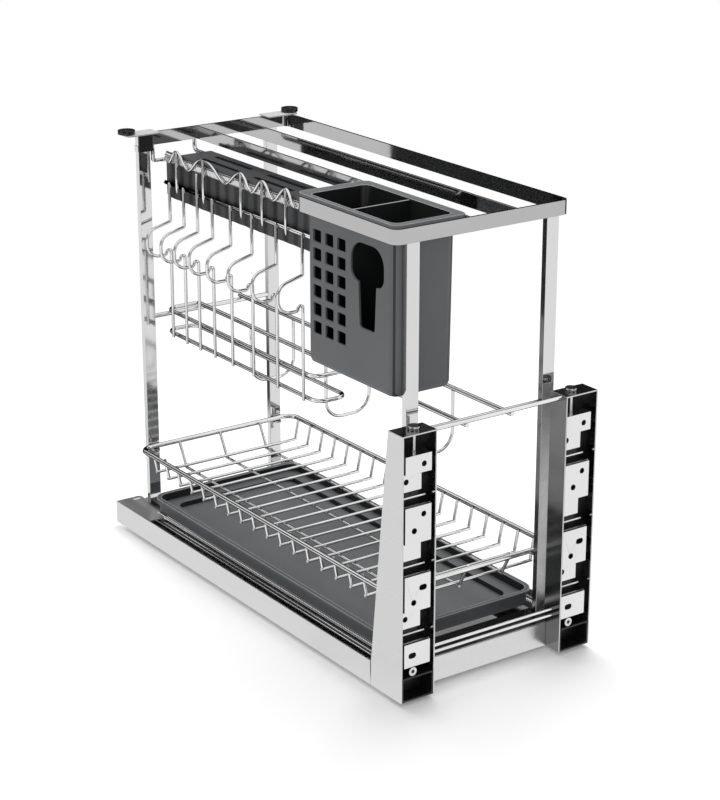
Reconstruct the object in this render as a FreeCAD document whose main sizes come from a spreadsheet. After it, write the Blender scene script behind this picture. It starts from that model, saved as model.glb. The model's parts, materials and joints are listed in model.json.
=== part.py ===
"""Pull-out cabinet rack for knives, utensils and cutting boards.

Millimetres, +Z up, the doors side towards -Y, +X to the right.
The origin lies on the cabinet floor, at the middle of the rack's footprint.
"""

import FreeCAD, Part
import math
import os
import re

import Sketcher

Vector = FreeCAD.Vector

# Each driving size: name, millimetres or count, meaning
SIZES = (
    ("outer_width", 213.0, "over the two side covers"),
    ("front_reach", 252.5, "origin to the front of the door brackets"),
    ("rear_reach", 252.5, "origin to the rear of the side covers"),
    ("floor_gap", 1.0, "carriage above the cabinet floor"),
    ("sheet_wall", 1.2, "rails, covers and base plates"),
    ("base_top", 24.0, "top of the carriage base"),
    ("rail_height", 22.0, "fixed rail, floor to top lip"),
    ("rail_inset", 19.7, "inner face of the fixed rail, from the cover's outer face"),
    ("rail_lip", 10.2, "reach of the fixed rail's lips"),
    ("rail_flange", 14.8, "floor flange of the fixed rail"),
    ("rail_setback", 37.5, "front end of the fixed rail, behind the bracket front"),
    ("rail_length", 437.0, "fixed rail"),
    ("rail_hole", 4.5, "screw holes to the cabinet floor"),
    ("rail_hole_front", 35.0, "front screw hole from the rail's front end"),
    ("rail_hole_rear", 42.0, "rear screw hole from the rail's rear end"),
    ("ball_gap", 3.0, "between the lips of two rail members"),
    ("web_gap", 0.6, "between the webs of two rail members"),
    ("middle_length", 425.0, "middle rail member"),
    ("middle_setback", 48.9, "its front end behind the bracket front"),
    ("middle_lip", 10.2, "reach of the middle member's lips"),
    ("carriage_rail_length", 456.0, "rail member on the carriage"),
    ("carriage_rail_setback", 28.5, "its front end behind the bracket front"),
    ("carriage_rail_lip", 12.0, "reach of its lips"),
    ("cover_setback", 46.5, "front end of the side cover, behind the bracket front"),
    ("tab_width", 28.5, "rear tab of the side cover"),
    ("tab_length", 67.5, "rear tab of the side cover"),
    ("tab_radius", 6.0, "inner front corner of the rear tab"),
    ("tab_rear_radius", 4.0, "inner rear corner of the rear tab"),
    ("tab_slot_inset", 16.5, "slot in the tab, from the cover's outer face"),
    ("tab_slot_length", 10.0, "slot in the tab"),
    ("tab_slot_width", 3.0, "slot in the tab"),
    ("tab_slot_setback", 5.0, "slot in the tab, from the rear"),
    ("base_plate_depth", 31.0, "front and rear base plates"),
    ("rear_plate_setback", 9.5, "rear edge of the rear base plate, from the covers' rear"),
    ("rear_flange_inset", 40.5, "end of its turned-down edge, from the cover's outer face"),
    ("rear_flange_drop", 12.0, "its turned-down edge"),
    ("fascia_setback", 19.0, "front face of the fascia, behind the bracket front"),
    ("tray_rail_inset", 27.0, "middle of the tray rails, from the cover's outer face"),
    ("tray_rail_width", 6.0, "tray rails"),
    ("post_width", 13.0, "flat upright posts"),
    ("post_depth", 6.0, "flat upright posts"),
    ("post_inset", 25.5, "outer side of the posts, from the cover's outer face"),
    ("rear_post_setback", 27.0, "front face of the rear posts, from the covers' rear"),
    ("band_top", 415.0, "top of the frame band"),
    ("band_height", 13.0, "frame band"),
    ("band_wall", 2.5, "frame band"),
    ("band_inset", 13.0, "outer side of the band, from the cover's outer face"),
    ("band_setback", 30.5, "front face of the band, behind the bracket front"),
    ("band_radius", 8.0, "outer corners of the band"),
    ("band_gap", 27.5, "outer corner of the band to where its rear side starts"),
    ("ring_gap", 11.0, "bin to the rear face of the bar behind it"),
    ("knife_bay", 92.0, "cover's outer face to the strip between knives and boards"),
    ("board_bay", 50.5, "strip to strip"),
    ("bin_inset", 3.5, "left wall of the bin, from the band's outer side"),
    ("bin_width", 65.7, "bin at the top"),
    ("bin_draft", 2.1, "right wall's lean over its height"),
    ("bin_setback", 6.5, "front wall of the bin, behind the band's front"),
    ("bin_length", 131.0, "bin, front to rear"),
    ("bin_depth", 149.0, "band's top to the underside of the bin"),
    ("bin_wall", 2.0, "bin"),
    ("bin_corner", 9.0, "upright corners of the bin"),
    ("bin_foot", 5.0, "lower edges of the bin"),
    ("rim_thick", 2.7, "rim of the bin"),
    ("rim_corner", 7.0, "corners of the bin's rim"),
    ("rim_gap", 0.3, "rim above the band"),
    ("rim_reach_left", 2.8, "rim beyond the bin's left wall"),
    ("rim_reach_right", 7.3, "rim beyond the bin's right wall"),
    ("rim_reach_front", 5.5, "rim beyond the bin's front wall"),
    ("rim_reach_rear", 10.5, "rim beyond the bin's rear wall"),
    ("vent_width", 12.4, "vent holes"),
    ("vent_height", 11.5, "vent holes"),
    ("vent_column", 18.5, "vent holes, column to column"),
    ("vent_row", 16.6, "vent holes, row to row"),
    ("vent_rows", 6, "rows of vent holes"),
    ("vent_setback", 17.7, "middle of the rear column, from the bin's rear wall"),
    ("vent_drop", 31.0, "middle of the top row below the band's top"),
    ("vent_radius", 1.5, "corners of the vent holes"),
    ("grip_setback", 93.0, "middle of the oval opening, from the bin's rear wall"),
    ("grip_drop", 39.5, "middle of the oval opening below the band's top"),
    ("grip_half_width", 24.2, "oval opening"),
    ("grip_half_height", 17.4, "oval opening"),
    ("grip_stem_top", 13.1, "half width of the stem at the oval"),
    ("grip_stem_foot", 11.0, "half width of the stem at its foot"),
    ("grip_flat", 1.0, "half of the straight run at the oval's ends"),
    ("grip_corner", 3.0, "corners of the stem's foot"),
    ("grip_stem_length", 57.5, "foot of the stem below the middle of the oval"),
    ("divider_wall", 2.0, "partition in the bin"),
    ("divider_drop", 1.0, "top of the partition below the rim's top"),
    ("divider_corner", 3.0, "lower corners of the partition"),
    ("slip", 0.3, "clearance round loose pieces"),
    ("block_gap", 3.5, "left rod's middle to the knife block"),
    ("block_width", 27.0, "knife block"),
    ("block_rear_gap", 30.5, "knife block to the rear posts"),
    ("block_front_gap", 3.5, "bar behind the bin to the knife block"),
    ("block_drop", 20.0, "top of the knife block below the band's top"),
    ("block_height", 48.5, "knife block"),
    ("block_radius", 9.0, "lower corners of the knife block"),
    ("block_flange", 2.2, "edge that rests on the rails"),
    ("block_flange_reach", 5.0, "left edge that rests on the rod"),
    ("block_flange_right", 4.2, "right edge that rests on the rod"),
    ("right_rod_gap", 2.6, "knife block to the middle of its right rod"),
    ("right_rod_bend", 6.0, "bends of the right rod"),
    ("slot_width", 5.0, "knife slots"),
    ("slot_length", 66.0, "knife slots"),
    ("slot_end", 9.0, "front slots to the block's front end"),
    ("slot_pitch", 94.0, "knife slots, start to start"),
    ("slot_setback", 59.0, "middle of the rear slots, from the block's rear end"),
    ("slot_row", 7.5, "slot rows each side of the block's middle"),
    ("rib_pitch", 9.5, "ribs on the knife block"),
    ("rib_groove", 4.0, "grooves between the ribs"),
    ("rib_depth", 0.8, "grooves between the ribs"),
    ("rail_wire", 4.0, "rods and rings of the knife cage"),
    ("cage_wire", 3.0, "bent wires of the knife cage"),
    ("wave_wire", 2.5, "wave wire"),
    ("cage_inset", 30.0, "left side of the knife cage, from the posts' outer side"),
    ("rod_pitch", 28.5, "upper rod to middle rod"),
    ("ring_reach", 5.5, "rear side of the rings, behind the rear posts' front"),
    ("upper_ring_setback", 33.0, "front side of the upper ring, from the block's front end"),
    ("lower_ring_setback", 27.0, "front side of the lower ring, from the block's front end"),
    ("ring_pitch", 23.0, "board frame to the lower ring"),
    ("ring_radius", 11.0, "corners of the rings"),
    ("cage_front_gap", 12.0, "front cage wire to the front side of the upper ring"),
    ("bulge_reach", 29.5, "how far the cage wires bow out"),
    ("bulge_radius", 12.0, "upper half of the bow of the cage wires"),
    ("bulge_low_radius", 13.0, "lower half of the bow of the cage wires"),
    ("bulge_top", 325.0, "where the wires leave the upright"),
    ("bulge_shoulder", 318.5, "outer end of the slope above the bow"),
    ("bulge_foot", 293.0, "where the wires come back"),
    ("cage_rear_gap", 12.5, "rear cage wire to the rear posts"),
    ("wave_rise", 3.5, "top of the wave wire above the upper rod"),
    ("wave_height", 20.0, "wave wire"),
    ("wave_radius", 7.0, "bends of the wave wire"),
    ("wave_end", 18.0, "last peak to the front end of the wave wire"),
    ("board_wire", 4.5, "wires of the board frame"),
    ("board_level", 229.5, "board frame"),
    ("board_wire_shift", 0.5, "right wire of the board frame, from the right strip"),
    ("rear_cross_reach", 2.5, "rear cross wire, behind the rear posts' front"),
    ("front_cross_setback", 3.0, "front cross wire, behind the band's front"),
    ("hoop_wire", 3.0, "board hoops"),
    ("hoop_depth", 58.5, "board frame to the foot of the hoops"),
    ("hoop_radius", 18.0, "board hoops"),
    ("hoop_setback", 96.5, "rear hoop to the rear posts"),
    ("hoop_front_setback", 84.0, "front hoop to the front cross wire"),
    ("rim_wire", 5.0, "rim of the lower basket"),
    ("rim_level", 88.0, "rim of the lower basket"),
    ("basket_inset", 14.0, "rim of the lower basket, from the cover's outer face"),
    ("basket_setback", 10.5, "rim of the lower basket, behind the band's front"),
    ("basket_rear_gap", 4.0, "rim of the lower basket to the rear posts"),
    ("rim_radius", 12.0, "corners of the basket rim"),
    ("basket_wire", 3.0, "floor and side wires of the basket"),
    ("basket_depth", 20.5, "rim of the basket to its cross wires"),
    ("basket_lean", 6.5, "rim's middle to the end of the cross wires"),
    ("basket_count", 18, "number of cross wires"),
    ("basket_first_gap", 19.3, "basket's rear rim to the first cross wire"),
    ("basket_taper", 12.5, "lean of the front and rear wires"),
    ("basket_wire_rise", 1.0, "top of the side wires above the rim's middle"),
    ("basket_long_pitch", 49.0, "long wires"),
    ("basket_long_count", 3, "long wires"),
    ("hook_width", 7.0, "basket hooks"),
    ("hook_height", 13.0, "basket hooks"),
    ("hook_shelf", 2.0, "basket hooks"),
    ("hook_wall", 1.0, "basket hooks"),
    ("tray_inset", 18.0, "drip tray over its rim, from the cover's outer face"),
    ("tray_setback", 24.0, "drip tray over its rim, behind the band's front"),
    ("tray_rear_gap", 15.5, "drip tray over its rim to the rear posts"),
    ("tray_rise", 16.0, "top of the drip tray above the base"),
    ("tray_lip", 3.0, "rim of the drip tray"),
    ("tray_wall", 1.8, "drip tray"),
    ("tray_radius", 16.0, "corners of the drip tray"),
    ("tray_hollow_radius", 10.0, "inner corners of the drip tray"),
    ("tray_step", 14.0, "step inside the drip tray"),
    ("tray_step_height", 5.0, "step inside the drip tray"),
    ("bracket_width", 36.0, "door brackets"),
    ("bracket_top", 247.0, "door brackets"),
    ("bracket_depth", 21.5, "door brackets at the top"),
    ("bracket_foot_depth", 45.5, "door brackets at the foot"),
    ("rod_setback", 7.5, "tie rods behind the bracket front"),
    ("tie_rod_drop", 2.5, "middle of the upper tie rod below the bracket top"),
    ("lower_rod_level", 37.0, "lower tie rods"),
    ("lower_rod_pitch", 6.0, "lower tie rods"),
    ("lower_rod", 3.0, "lower tie rods"),
    ("plate_side_gap", 2.4, "door plate inside the bracket"),
    ("plate_width", 27.4, "door plate"),
    ("plate_wall", 1.5, "door plate"),
    ("plate_top", 228.0, "door plate"),
    ("plate_foot", 33.0, "door plate"),
    ("plate_origin", 245.0, "top of the first full step"),
    ("plate_tail", 22.4, "height of the lowest face"),
    ("plate_proud", 33.6, "height of the proud faces"),
    ("plate_recess", 16.8, "height of the recessed faces"),
    ("plate_step", 4.5, "depth of one step"),
    ("plate_narrow", 20.0, "width of the recessed faces"),
    ("plate_setback", 0.6, "proud faces behind the bracket front"),
    ("plate_far_gap", 0.6, "right door plate inside its bracket"),
    ("door_hole", 5.0, "screw holes for the door"),
    ("door_hole_place", 19.4, "door holes from the plate's left edge"),
    ("door_hole_top", 219.0, "round hole in the top face"),
    ("door_hole_pitch", 45.4, "round holes, top face to second face"),
    ("door_slot", 8.0, "length of the door slots"),
    ("door_slot_level", 105.8, "slot in the third face"),
    ("foot_slot_level", 43.8, "slot in the lowest face"),
    ("foot_slot_place", 8.6, "slot in the lowest face from the plate's left edge"),
    ("side_place", 4.0, "holes in the recessed faces from the plate's left edge"),
    ("side_hole_top", 203.8, "hole in the top recessed face"),
    ("side_hole_low", 77.3, "hole in the lowest recessed face"),
    ("pin_hole", 3.0, "small holes in the second and third faces"),
    ("pin_hole_place", 9.5, "small holes from the plate's left edge"),
    ("pin_hole_top", 159.8, "small hole in the second face"),
    ("pin_hole_low", 93.4, "small hole in the third face"),
    ("screw_inset", 20.5, "height screw from the cover's outer face"),
    ("screw_setback", 12.5, "height screw behind the bracket front"),
    ("screw_shank", 4.0, "height screw"),
    ("screw_head", 11.0, "height screw"),
    ("screw_head_height", 3.0, "height screw"),
    ("screw_drive", 3.2, "half length of the height screw's slot"),
    ("drive_width", 1.4, "height screw's slot"),
    ("key_place", 8.0, "small slot in the bracket lid, from the height screw"),
    ("key_length", 4.0, "small slot in the bracket lid"),
    ("key_width", 2.0, "small slot in the bracket lid"),
    ("screw_length", 23.0, "height screw under its head"),
    ("thread_gap", 0.05, "running fit, radial"),
    ("fixing_level", 28.5, "fixing screw at the bracket's foot"),
    ("fixing_inset", 12.9, "fixing screw from the cover's outer face"),
    ("fixing_head", 8.0, "fixing screw"),
    ("fixing_shank", 3.4, "fixing screw"),
    ("fixing_head_height", 2.5, "fixing screw"),
    ("cap_height", 22.8, "end cap of the bracket"),
    ("cap_depth", 18.0, "end cap of the bracket"),
    ("cap_wall", 1.5, "end cap of the bracket"),
    ("cap_corner", 2.0, "inner corners of the end cap"),
    ("cap_setback", 0.4, "end cap behind the bracket front"),
    ("roller_radius", 8.5, "guide rollers"),
    ("roller_height", 4.0, "guide rollers"),
    ("roller_inset", 11.5, "guide rollers from the cover's outer face"),
    ("roller_setback", 2.5, "guide rollers ahead of the rear posts' front"),
    ("roller_pin", 4.0, "axle of the guide rollers"),
    ("guide_plate_wall", 1.2, "guide plates"),
    ("guide_plate_corner", 2.0, "inner corners of the guide plates"),
    ("guide_plate_round", 4.0, "outer corners of the guide plates"),
    ("guide_plate_over", 4.0, "guide plates beyond the rollers' middle"),
    ("guide_plate_inset", 18.0, "inner end of the guide plates, from the posts' outer side"),
    ("guide_plate_reach", 11.0, "guide plates ahead of the rollers' middle"),
    ("corner_height", 19.0, "dark corner bracket"),
)

# Sizes that follow from the driving ones: name, rule
TIES = {
    "rail_web": "outer_width / 2 - rail_inset",
    "rail_rear": "rail_length - front_reach + rail_setback",
    "cover_front": "front_reach - cover_setback",
    "rear_plate_end": "rear_reach - rear_plate_setback",
    "rear_flange_half": "outer_width / 2 - rear_flange_inset",
    "fascia_front": "front_reach - fascia_setback",
    "tray_rail_mid": "outer_width / 2 - tray_rail_inset",
    "post_outer": "outer_width / 2 - post_inset",
    "rear_post_front": "rear_reach - rear_post_setback",
    "band_half": "outer_width / 2 - band_inset",
    "band_front": "front_reach - band_setback",
    "band_left_end": "band_half - band_gap",
    "ring_rear": "bin_rear - ring_gap",
    "left_strip": "-outer_width / 2 + knife_bay",
    "right_strip": "left_strip + board_bay",
    "bin_left": "band_half - bin_inset",
    "bin_right": "bin_left - bin_width",
    "bin_front": "band_front - bin_setback",
    "bin_rear": "bin_front - bin_length",
    "bin_floor": "band_top - bin_depth",
    "rim_left": "bin_left + rim_reach_left",
    "rim_right": "bin_right - rim_reach_right",
    "rim_front": "bin_front + rim_reach_front",
    "rim_rear": "bin_rear - rim_reach_rear",
    "vent_rear": "bin_rear + vent_setback",
    "vent_top": "band_top - vent_drop",
    "grip_mid": "bin_rear + grip_setback",
    "grip_level": "band_top - grip_drop",
    "grip_foot": "grip_level - grip_stem_length",
    "block_left": "cage_side - block_gap",
    "block_right": "block_left - block_width",
    "block_rear": "rear_post_front - block_rear_gap",
    "block_front": "ring_rear - block_front_gap",
    "block_top": "band_top - block_drop",
    "block_foot": "block_top - block_height",
    "right_rod": "block_right - right_rod_gap",
    "slot_first": "block_rear - slot_setback",
    "cage_side": "post_outer - cage_inset",
    "upper_rod_level": "block_top - block_flange - slip - rail_wire / 2",
    "middle_rod_level": "upper_rod_level - rod_pitch",
    "upper_ring_rear": "rear_post_front + ring_reach",
    "upper_ring_front": "block_front - upper_ring_setback",
    "lower_ring_front": "block_front - lower_ring_setback",
    "lower_ring_level": "board_level - ring_pitch",
    "cage_rear": "rear_post_front - cage_rear_gap",
    "wave_peak": "upper_rod_level + wave_rise",
    "wave_trough": "wave_peak - wave_height",
    "board_wire_right": "right_strip - board_wire_shift",
    "rear_cross_place": "rear_post_front + rear_cross_reach",
    "front_cross_place": "band_front - front_cross_setback",
    "hoop_floor": "board_level - hoop_depth",
    "hoop_first": "rear_post_front - hoop_setback",
    "hoop_pitch": "(hoop_first + front_cross_place - hoop_front_setback) / 2",
    "rim_half": "outer_width / 2 - basket_inset",
    "rim_front_side": "band_front - basket_setback",
    "rim_rear_side": "rear_post_front - basket_rear_gap",
    "basket_floor": "rim_level - basket_depth",
    "basket_half": "rim_half - basket_lean",
    "basket_first": "rim_rear_side - basket_first_gap",
    "basket_pitch": "(basket_first + rim_front_side - basket_first_gap) / (basket_count - 1)",
    "tray_half": "outer_width / 2 - tray_inset",
    "tray_front": "band_front - tray_setback",
    "tray_rear": "rear_post_front - tray_rear_gap",
    "tray_top": "base_top + tray_rise",
    "bracket_inner": "outer_width / 2 - bracket_width",
    "bracket_foot_rear": "front_reach - bracket_foot_depth",
    "tie_rod_level": "bracket_top - tie_rod_drop",
    "plate_shift": "outer_width / 2 + bracket_inner - plate_side_gap + plate_far_gap",
    "plate_pitch": "(plate_origin - plate_foot - plate_tail) / 3",
    "screw_place": "outer_width / 2 - screw_inset",
    "screw_foot": "bracket_top - screw_length",
    "fixing_place": "outer_width / 2 - fixing_inset",
    "roller_place": "outer_width / 2 - roller_inset",
    "roller_depth": "rear_post_front - roller_setback",
    "guide_plate_inner": "post_outer - guide_plate_inset",
    "guide_plate_front": "roller_depth - guide_plate_reach",
    "guide_plate_rear": "rear_post_front + post_depth",
    "divider_mid": "(bin_front + bin_rear) / 2",
    "cage_span": "cage_rear + upper_ring_front - cage_front_gap",
}

doc = FreeCAD.newDocument("Rack")
sheet = doc.addObject("Spreadsheet::Sheet", "Sizes")
for row, (alias, size, note) in enumerate(SIZES, start=1):
    sheet.set("A%d" % row, alias)
    sheet.set("B%d" % row, str(size))
    sheet.set("C%d" % row, note)
    sheet.setAlias("B%d" % row, alias)
doc.recompute()

PLANES = {"top": "XY_Plane", "front": "XZ_Plane", "side": "YZ_Plane"}
# Cage wires and peaks of the wave wire, forward of the rear cage wire
CAGE_WIRES = (0, 27, 53, 81, 114, 152, 194, 238)
WAVE_PEAKS = (15, 65, 133, 170, 211)

pieces = []


def named(text):
    """The expression in sheet terms: a tied size gives its rule, and a driving one its cell."""
    def term(found):
        word = found.group(0)
        return "(%s)" % named(TIES[word]) if word in TIES else "Sizes." + word
    return re.sub(r"[a-z][a-z0-9_]*(?!\()\b", term, str(text))


def value(text):
    """The number that an expression in the sheet's sizes comes to."""
    return float(sheet.evalExpression(named(text)))


def bind(item, place, text):
    """Bind one property of an object to an expression in the sheet's sizes."""
    item.setExpression(place, named(text))


def keep(item, name):
    """Give a finished sub-part its name and list it for the export."""
    item.Label = name
    pieces.append(item)
    return item


def new_body(name):
    return doc.addObject("PartDesign::Body", name.title().replace("_", ""))


def origin_plane(body, plane):
    role = PLANES[plane]
    return next(item for item in body.Origin.OriginFeatures if item.Role == role)


def new_sketch(body, plane, offset="0"):
    """A sketch on one of the body's own planes, moved along the plane's normal.

    The normals are +Z for the top plane, -Y for the front and +X for the side.
    """
    sketch = body.newObject("Sketcher::SketchObject", "Sketch")
    sketch.AttachmentSupport = [(origin_plane(body, plane), "")]
    sketch.MapMode = "FlatFace"
    bind(sketch, "AttachmentOffset.Base.z", offset)
    return sketch


def constrain(sketch, rules):
    """Add constraints together; a rule may end in the expression that it is bound to."""
    first = sketch.ConstraintCount
    sketch.addConstraint([Sketcher.Constraint(*rule[0]) for rule in rules])
    for number, rule in enumerate(rules):
        if len(rule) > 1:
            bind(sketch, "Constraints[%d]" % (first + number), rule[1])


def at_point(edge, end, corner):
    """Rules that hold a point of the sketch at the corner's two coordinates."""
    return [
        (("DistanceX", -1, 1, edge, end, value(corner[0])), corner[0]),
        (("DistanceY", -1, 1, edge, end, value(corner[1])), corner[1]),
    ]


def rounded_corner(before, corner, after, radius):
    """Start, middle and end of the arc of this radius between two straight runs."""
    back = (before - corner).normalize()
    ahead = (after - corner).normalize()
    half = back.getAngle(ahead) / 2
    inward = (back + ahead).normalize()
    centre = corner + inward * (radius / math.sin(half))
    reach = radius / math.tan(half)
    return corner + back * reach, centre - inward * radius, corner + ahead * reach


def draw(sketch, corners, closed=True):
    """Straight runs through the corners; a third entry is the corner's radius."""
    points = [Vector(value(corner[0]), value(corner[1]), 0) for corner in corners]
    count = len(points)
    arcs = {}
    for index, corner in enumerate(corners):
        if len(corner) > 2 and (closed or 0 < index < count - 1):
            radius = value(corner[2])
            arcs[index] = rounded_corner(
                points[index - 1], points[index], points[(index + 1) % count], radius)
    runs = []
    for index in range(count if closed else count - 1):
        after = (index + 1) % count
        start = arcs[index][2] if index in arcs else points[index]
        end = arcs[after][0] if after in arcs else points[after]
        runs.append(sketch.addGeometry(Part.LineSegment(start, end), False))
    rules = []
    for index, corner in enumerate(corners):
        before = runs[index - 1] if closed or index > 0 else None
        after = runs[index] if index < len(runs) else None
        if index in arcs:
            start, middle, end = arcs[index]
            ahead = (middle - start).cross(end - middle).z > 0
            bend = Part.Arc(start, middle, end) if ahead else Part.Arc(end, middle, start)
            arc = sketch.addGeometry(bend, False)
            mark = sketch.addGeometry(Part.Point(points[index]), True)
            rules += [
                (("Tangent", before, 2, arc, 1 if ahead else 2),),
                (("Tangent", arc, 2 if ahead else 1, after, 1),),
                (("Radius", arc, value(corner[2])), corner[2]),
                (("PointOnObject", mark, 1, before),),
                (("PointOnObject", mark, 1, after),),
            ]
            rules += at_point(mark, 1, corner)
        elif after is None:
            rules += at_point(before, 2, corner)
        else:
            if before is not None:
                rules.append((("Coincident", before, 2, after, 1),))
            rules += at_point(after, 1, corner)
    constrain(sketch, rules)


def draw_circle(sketch, across, up, diameter):
    """A circle about a point given by its two coordinates."""
    middle = Vector(value(across), value(up), 0)
    ring = sketch.addGeometry(Part.Circle(middle, Vector(0, 0, 1), value(diameter) / 2), False)
    constrain(sketch, [(("Diameter", ring, value(diameter)), diameter)]
              + at_point(ring, 3, (across, up)))


def box_corners(left, right, low, high, *radius):
    """The four corners of an upright rectangle, each with the same radius if any."""
    return [(left, low) + radius, (right, low) + radius, (right, high) + radius, (left, high) + radius]


def pad(body, sketch, length):
    """Raise the sketch along its normal."""
    feature = body.newObject("PartDesign::Pad", "Pad")
    feature.Profile = sketch
    bind(feature, "Length", length)
    doc.recompute()
    return feature


def cut(body, sketch, depth, ahead=False):
    """Cut the sketch into the body, against its normal or, if ahead, along it."""
    before = body.Shape.Volume
    feature = body.newObject("PartDesign::Pocket", "Pocket")
    feature.Profile = sketch
    feature.Reversed = ahead
    bind(feature, "Length", depth)
    doc.recompute()
    if not body.Shape.Volume < before - 1e-3:
        raise RuntimeError(body.Name + ": a pocket cuts nothing")
    return feature


def repeat(body, feature, plane, pitch, count, back=False):
    """Repeat a feature along the plane's normal, or against it if back."""
    pattern = body.newObject("PartDesign::LinearPattern", "Pattern")
    pattern.Originals = [feature]
    pattern.Direction = (origin_plane(body, plane), [""])
    pattern.Mode = "Spacing"
    pattern.Reversed = back
    bind(pattern, "Offset", pitch)
    bind(pattern, "Occurrences", count)
    body.Tip = pattern
    doc.recompute()
    return pattern


def bent_wire(body, plane, offset, corners, diameter, closed=False):
    """A round wire of this diameter along a drawn path."""
    path = new_sketch(body, plane, offset)
    draw(path, corners, closed)
    doc.recompute()
    section = body.newObject("Sketcher::SketchObject", "Section")
    section.AttachmentSupport = [(path, "Edge1")]
    section.MapMode = "NormalToEdge"
    section.MapPathParameter = 0
    draw_circle(section, "0", "0", diameter)
    doc.recompute()
    feature = body.newObject("PartDesign::AdditivePipe", "Pipe")
    feature.Profile = section
    feature.Spine = (path, [])
    feature.Transition = "Right corner"
    doc.recompute()
    return feature


def wire_piece(name, plane, offset, corners, diameter, closed=False):
    """A sub-part that is one bent wire."""
    body = new_body(name)
    bent_wire(body, plane, offset, corners, diameter, closed)
    return keep(body, name)


def rod(name, axis, place, length, diameter):
    """A straight round rod from a place along the X, Y or Z axis."""
    item = doc.addObject("Part::Cylinder", name.title().replace("_", ""))
    bind(item, "Radius", "(%s) / 2" % diameter)
    bind(item, "Height", length)
    turns = {"x": (Vector(0, 1, 0), 90), "y": (Vector(1, 0, 0), -90), "z": (Vector(0, 0, 1), 0)}
    item.Placement.Rotation = FreeCAD.Rotation(*turns[axis])
    for letter, text in zip("xyz", place):
        bind(item, "Placement.Base." + letter, text)
    return item


def bar(name, low, high):
    """A rectangular bar between two opposite corners."""
    item = doc.addObject("Part::Box", name.title().replace("_", ""))
    for letter, size, start, end in zip("xyz", ("Length", "Width", "Height"), low, high):
        bind(item, "Placement.Base." + letter, start)
        bind(item, size, "(%s) - (%s)" % (end, start))
    return item


def twin(source):
    """The right-hand twin of a left-hand piece."""
    other = doc.addObject("Part::Mirroring", "Twin")
    other.Source = source
    other.Normal = Vector(1, 0, 0)
    return other


def mirrored(name, source):
    """A sub-part that is the right-hand twin of a left-hand one."""
    return keep(twin(source), name)


def group(name, members):
    """Several like solids that share one name."""
    whole = doc.addObject("Part::Compound", name.title().replace("_", ""))
    whole.Links = members
    return keep(whole, name)


def rails():
    """The three members of each runner: fixed, middle and carriage."""
    body = new_body("cabinet_rail_left")
    sketch = new_sketch(body, "front", "-rail_rear")
    draw(sketch, [
        ("-rail_web + rail_flange", "0"),
        ("-rail_web - rail_lip", "0"),
        ("-rail_web - rail_lip", "sheet_wall"),
        ("-rail_web - sheet_wall", "sheet_wall"),
        ("-rail_web - sheet_wall", "rail_height - sheet_wall"),
        ("-rail_web - rail_lip", "rail_height - sheet_wall"),
        ("-rail_web - rail_lip", "rail_height"),
        ("-rail_web", "rail_height"),
        ("-rail_web", "sheet_wall"),
        ("-rail_web + rail_flange", "sheet_wall"),
    ])
    pad(body, sketch, "rail_length")
    holes = new_sketch(body, "top", "sheet_wall")
    for place in ("rail_rear - rail_length + rail_hole_front", "rail_rear - rail_hole_rear"):
        draw_circle(holes, "-rail_web + rail_flange / 2", place, "rail_hole")
    cut(body, holes, "2 * sheet_wall")
    mirrored("cabinet_rail_right", keep(body, "cabinet_rail_left"))

    web = "-rail_web - sheet_wall - web_gap"
    low = "sheet_wall + ball_gap"
    high = "rail_height - sheet_wall - ball_gap"
    body = new_body("middle_rail_left")
    sketch = new_sketch(body, "front", "-middle_length + front_reach - middle_setback")
    draw(sketch, [
        (web, low),
        (web + " - middle_lip", low),
        (web + " - middle_lip", low + " + sheet_wall"),
        (web + " - sheet_wall", low + " + sheet_wall"),
        (web + " - sheet_wall", high + " - sheet_wall"),
        (web + " - middle_lip", high + " - sheet_wall"),
        (web + " - middle_lip", high),
        (web, high),
    ])
    pad(body, sketch, "middle_length")
    mirrored("middle_rail_right", keep(body, "middle_rail_left"))

    web = "-outer_width / 2 + sheet_wall"
    low = "2 * sheet_wall + 2 * ball_gap"
    high = "rail_height - 2 * sheet_wall - 2 * ball_gap"
    body = new_body("carriage_rail_left")
    sketch = new_sketch(body, "front", "-carriage_rail_length + front_reach - carriage_rail_setback")
    draw(sketch, [
        (web, low),
        (web + " + carriage_rail_lip", low),
        (web + " + carriage_rail_lip", low + " + sheet_wall"),
        (web + " + sheet_wall", low + " + sheet_wall"),
        (web + " + sheet_wall", high + " - sheet_wall"),
        (web + " + carriage_rail_lip", high + " - sheet_wall"),
        (web + " + carriage_rail_lip", high),
        (web, high),
    ])
    pad(body, sketch, "carriage_rail_length")
    mirrored("carriage_rail_right", keep(body, "carriage_rail_left"))


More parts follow.
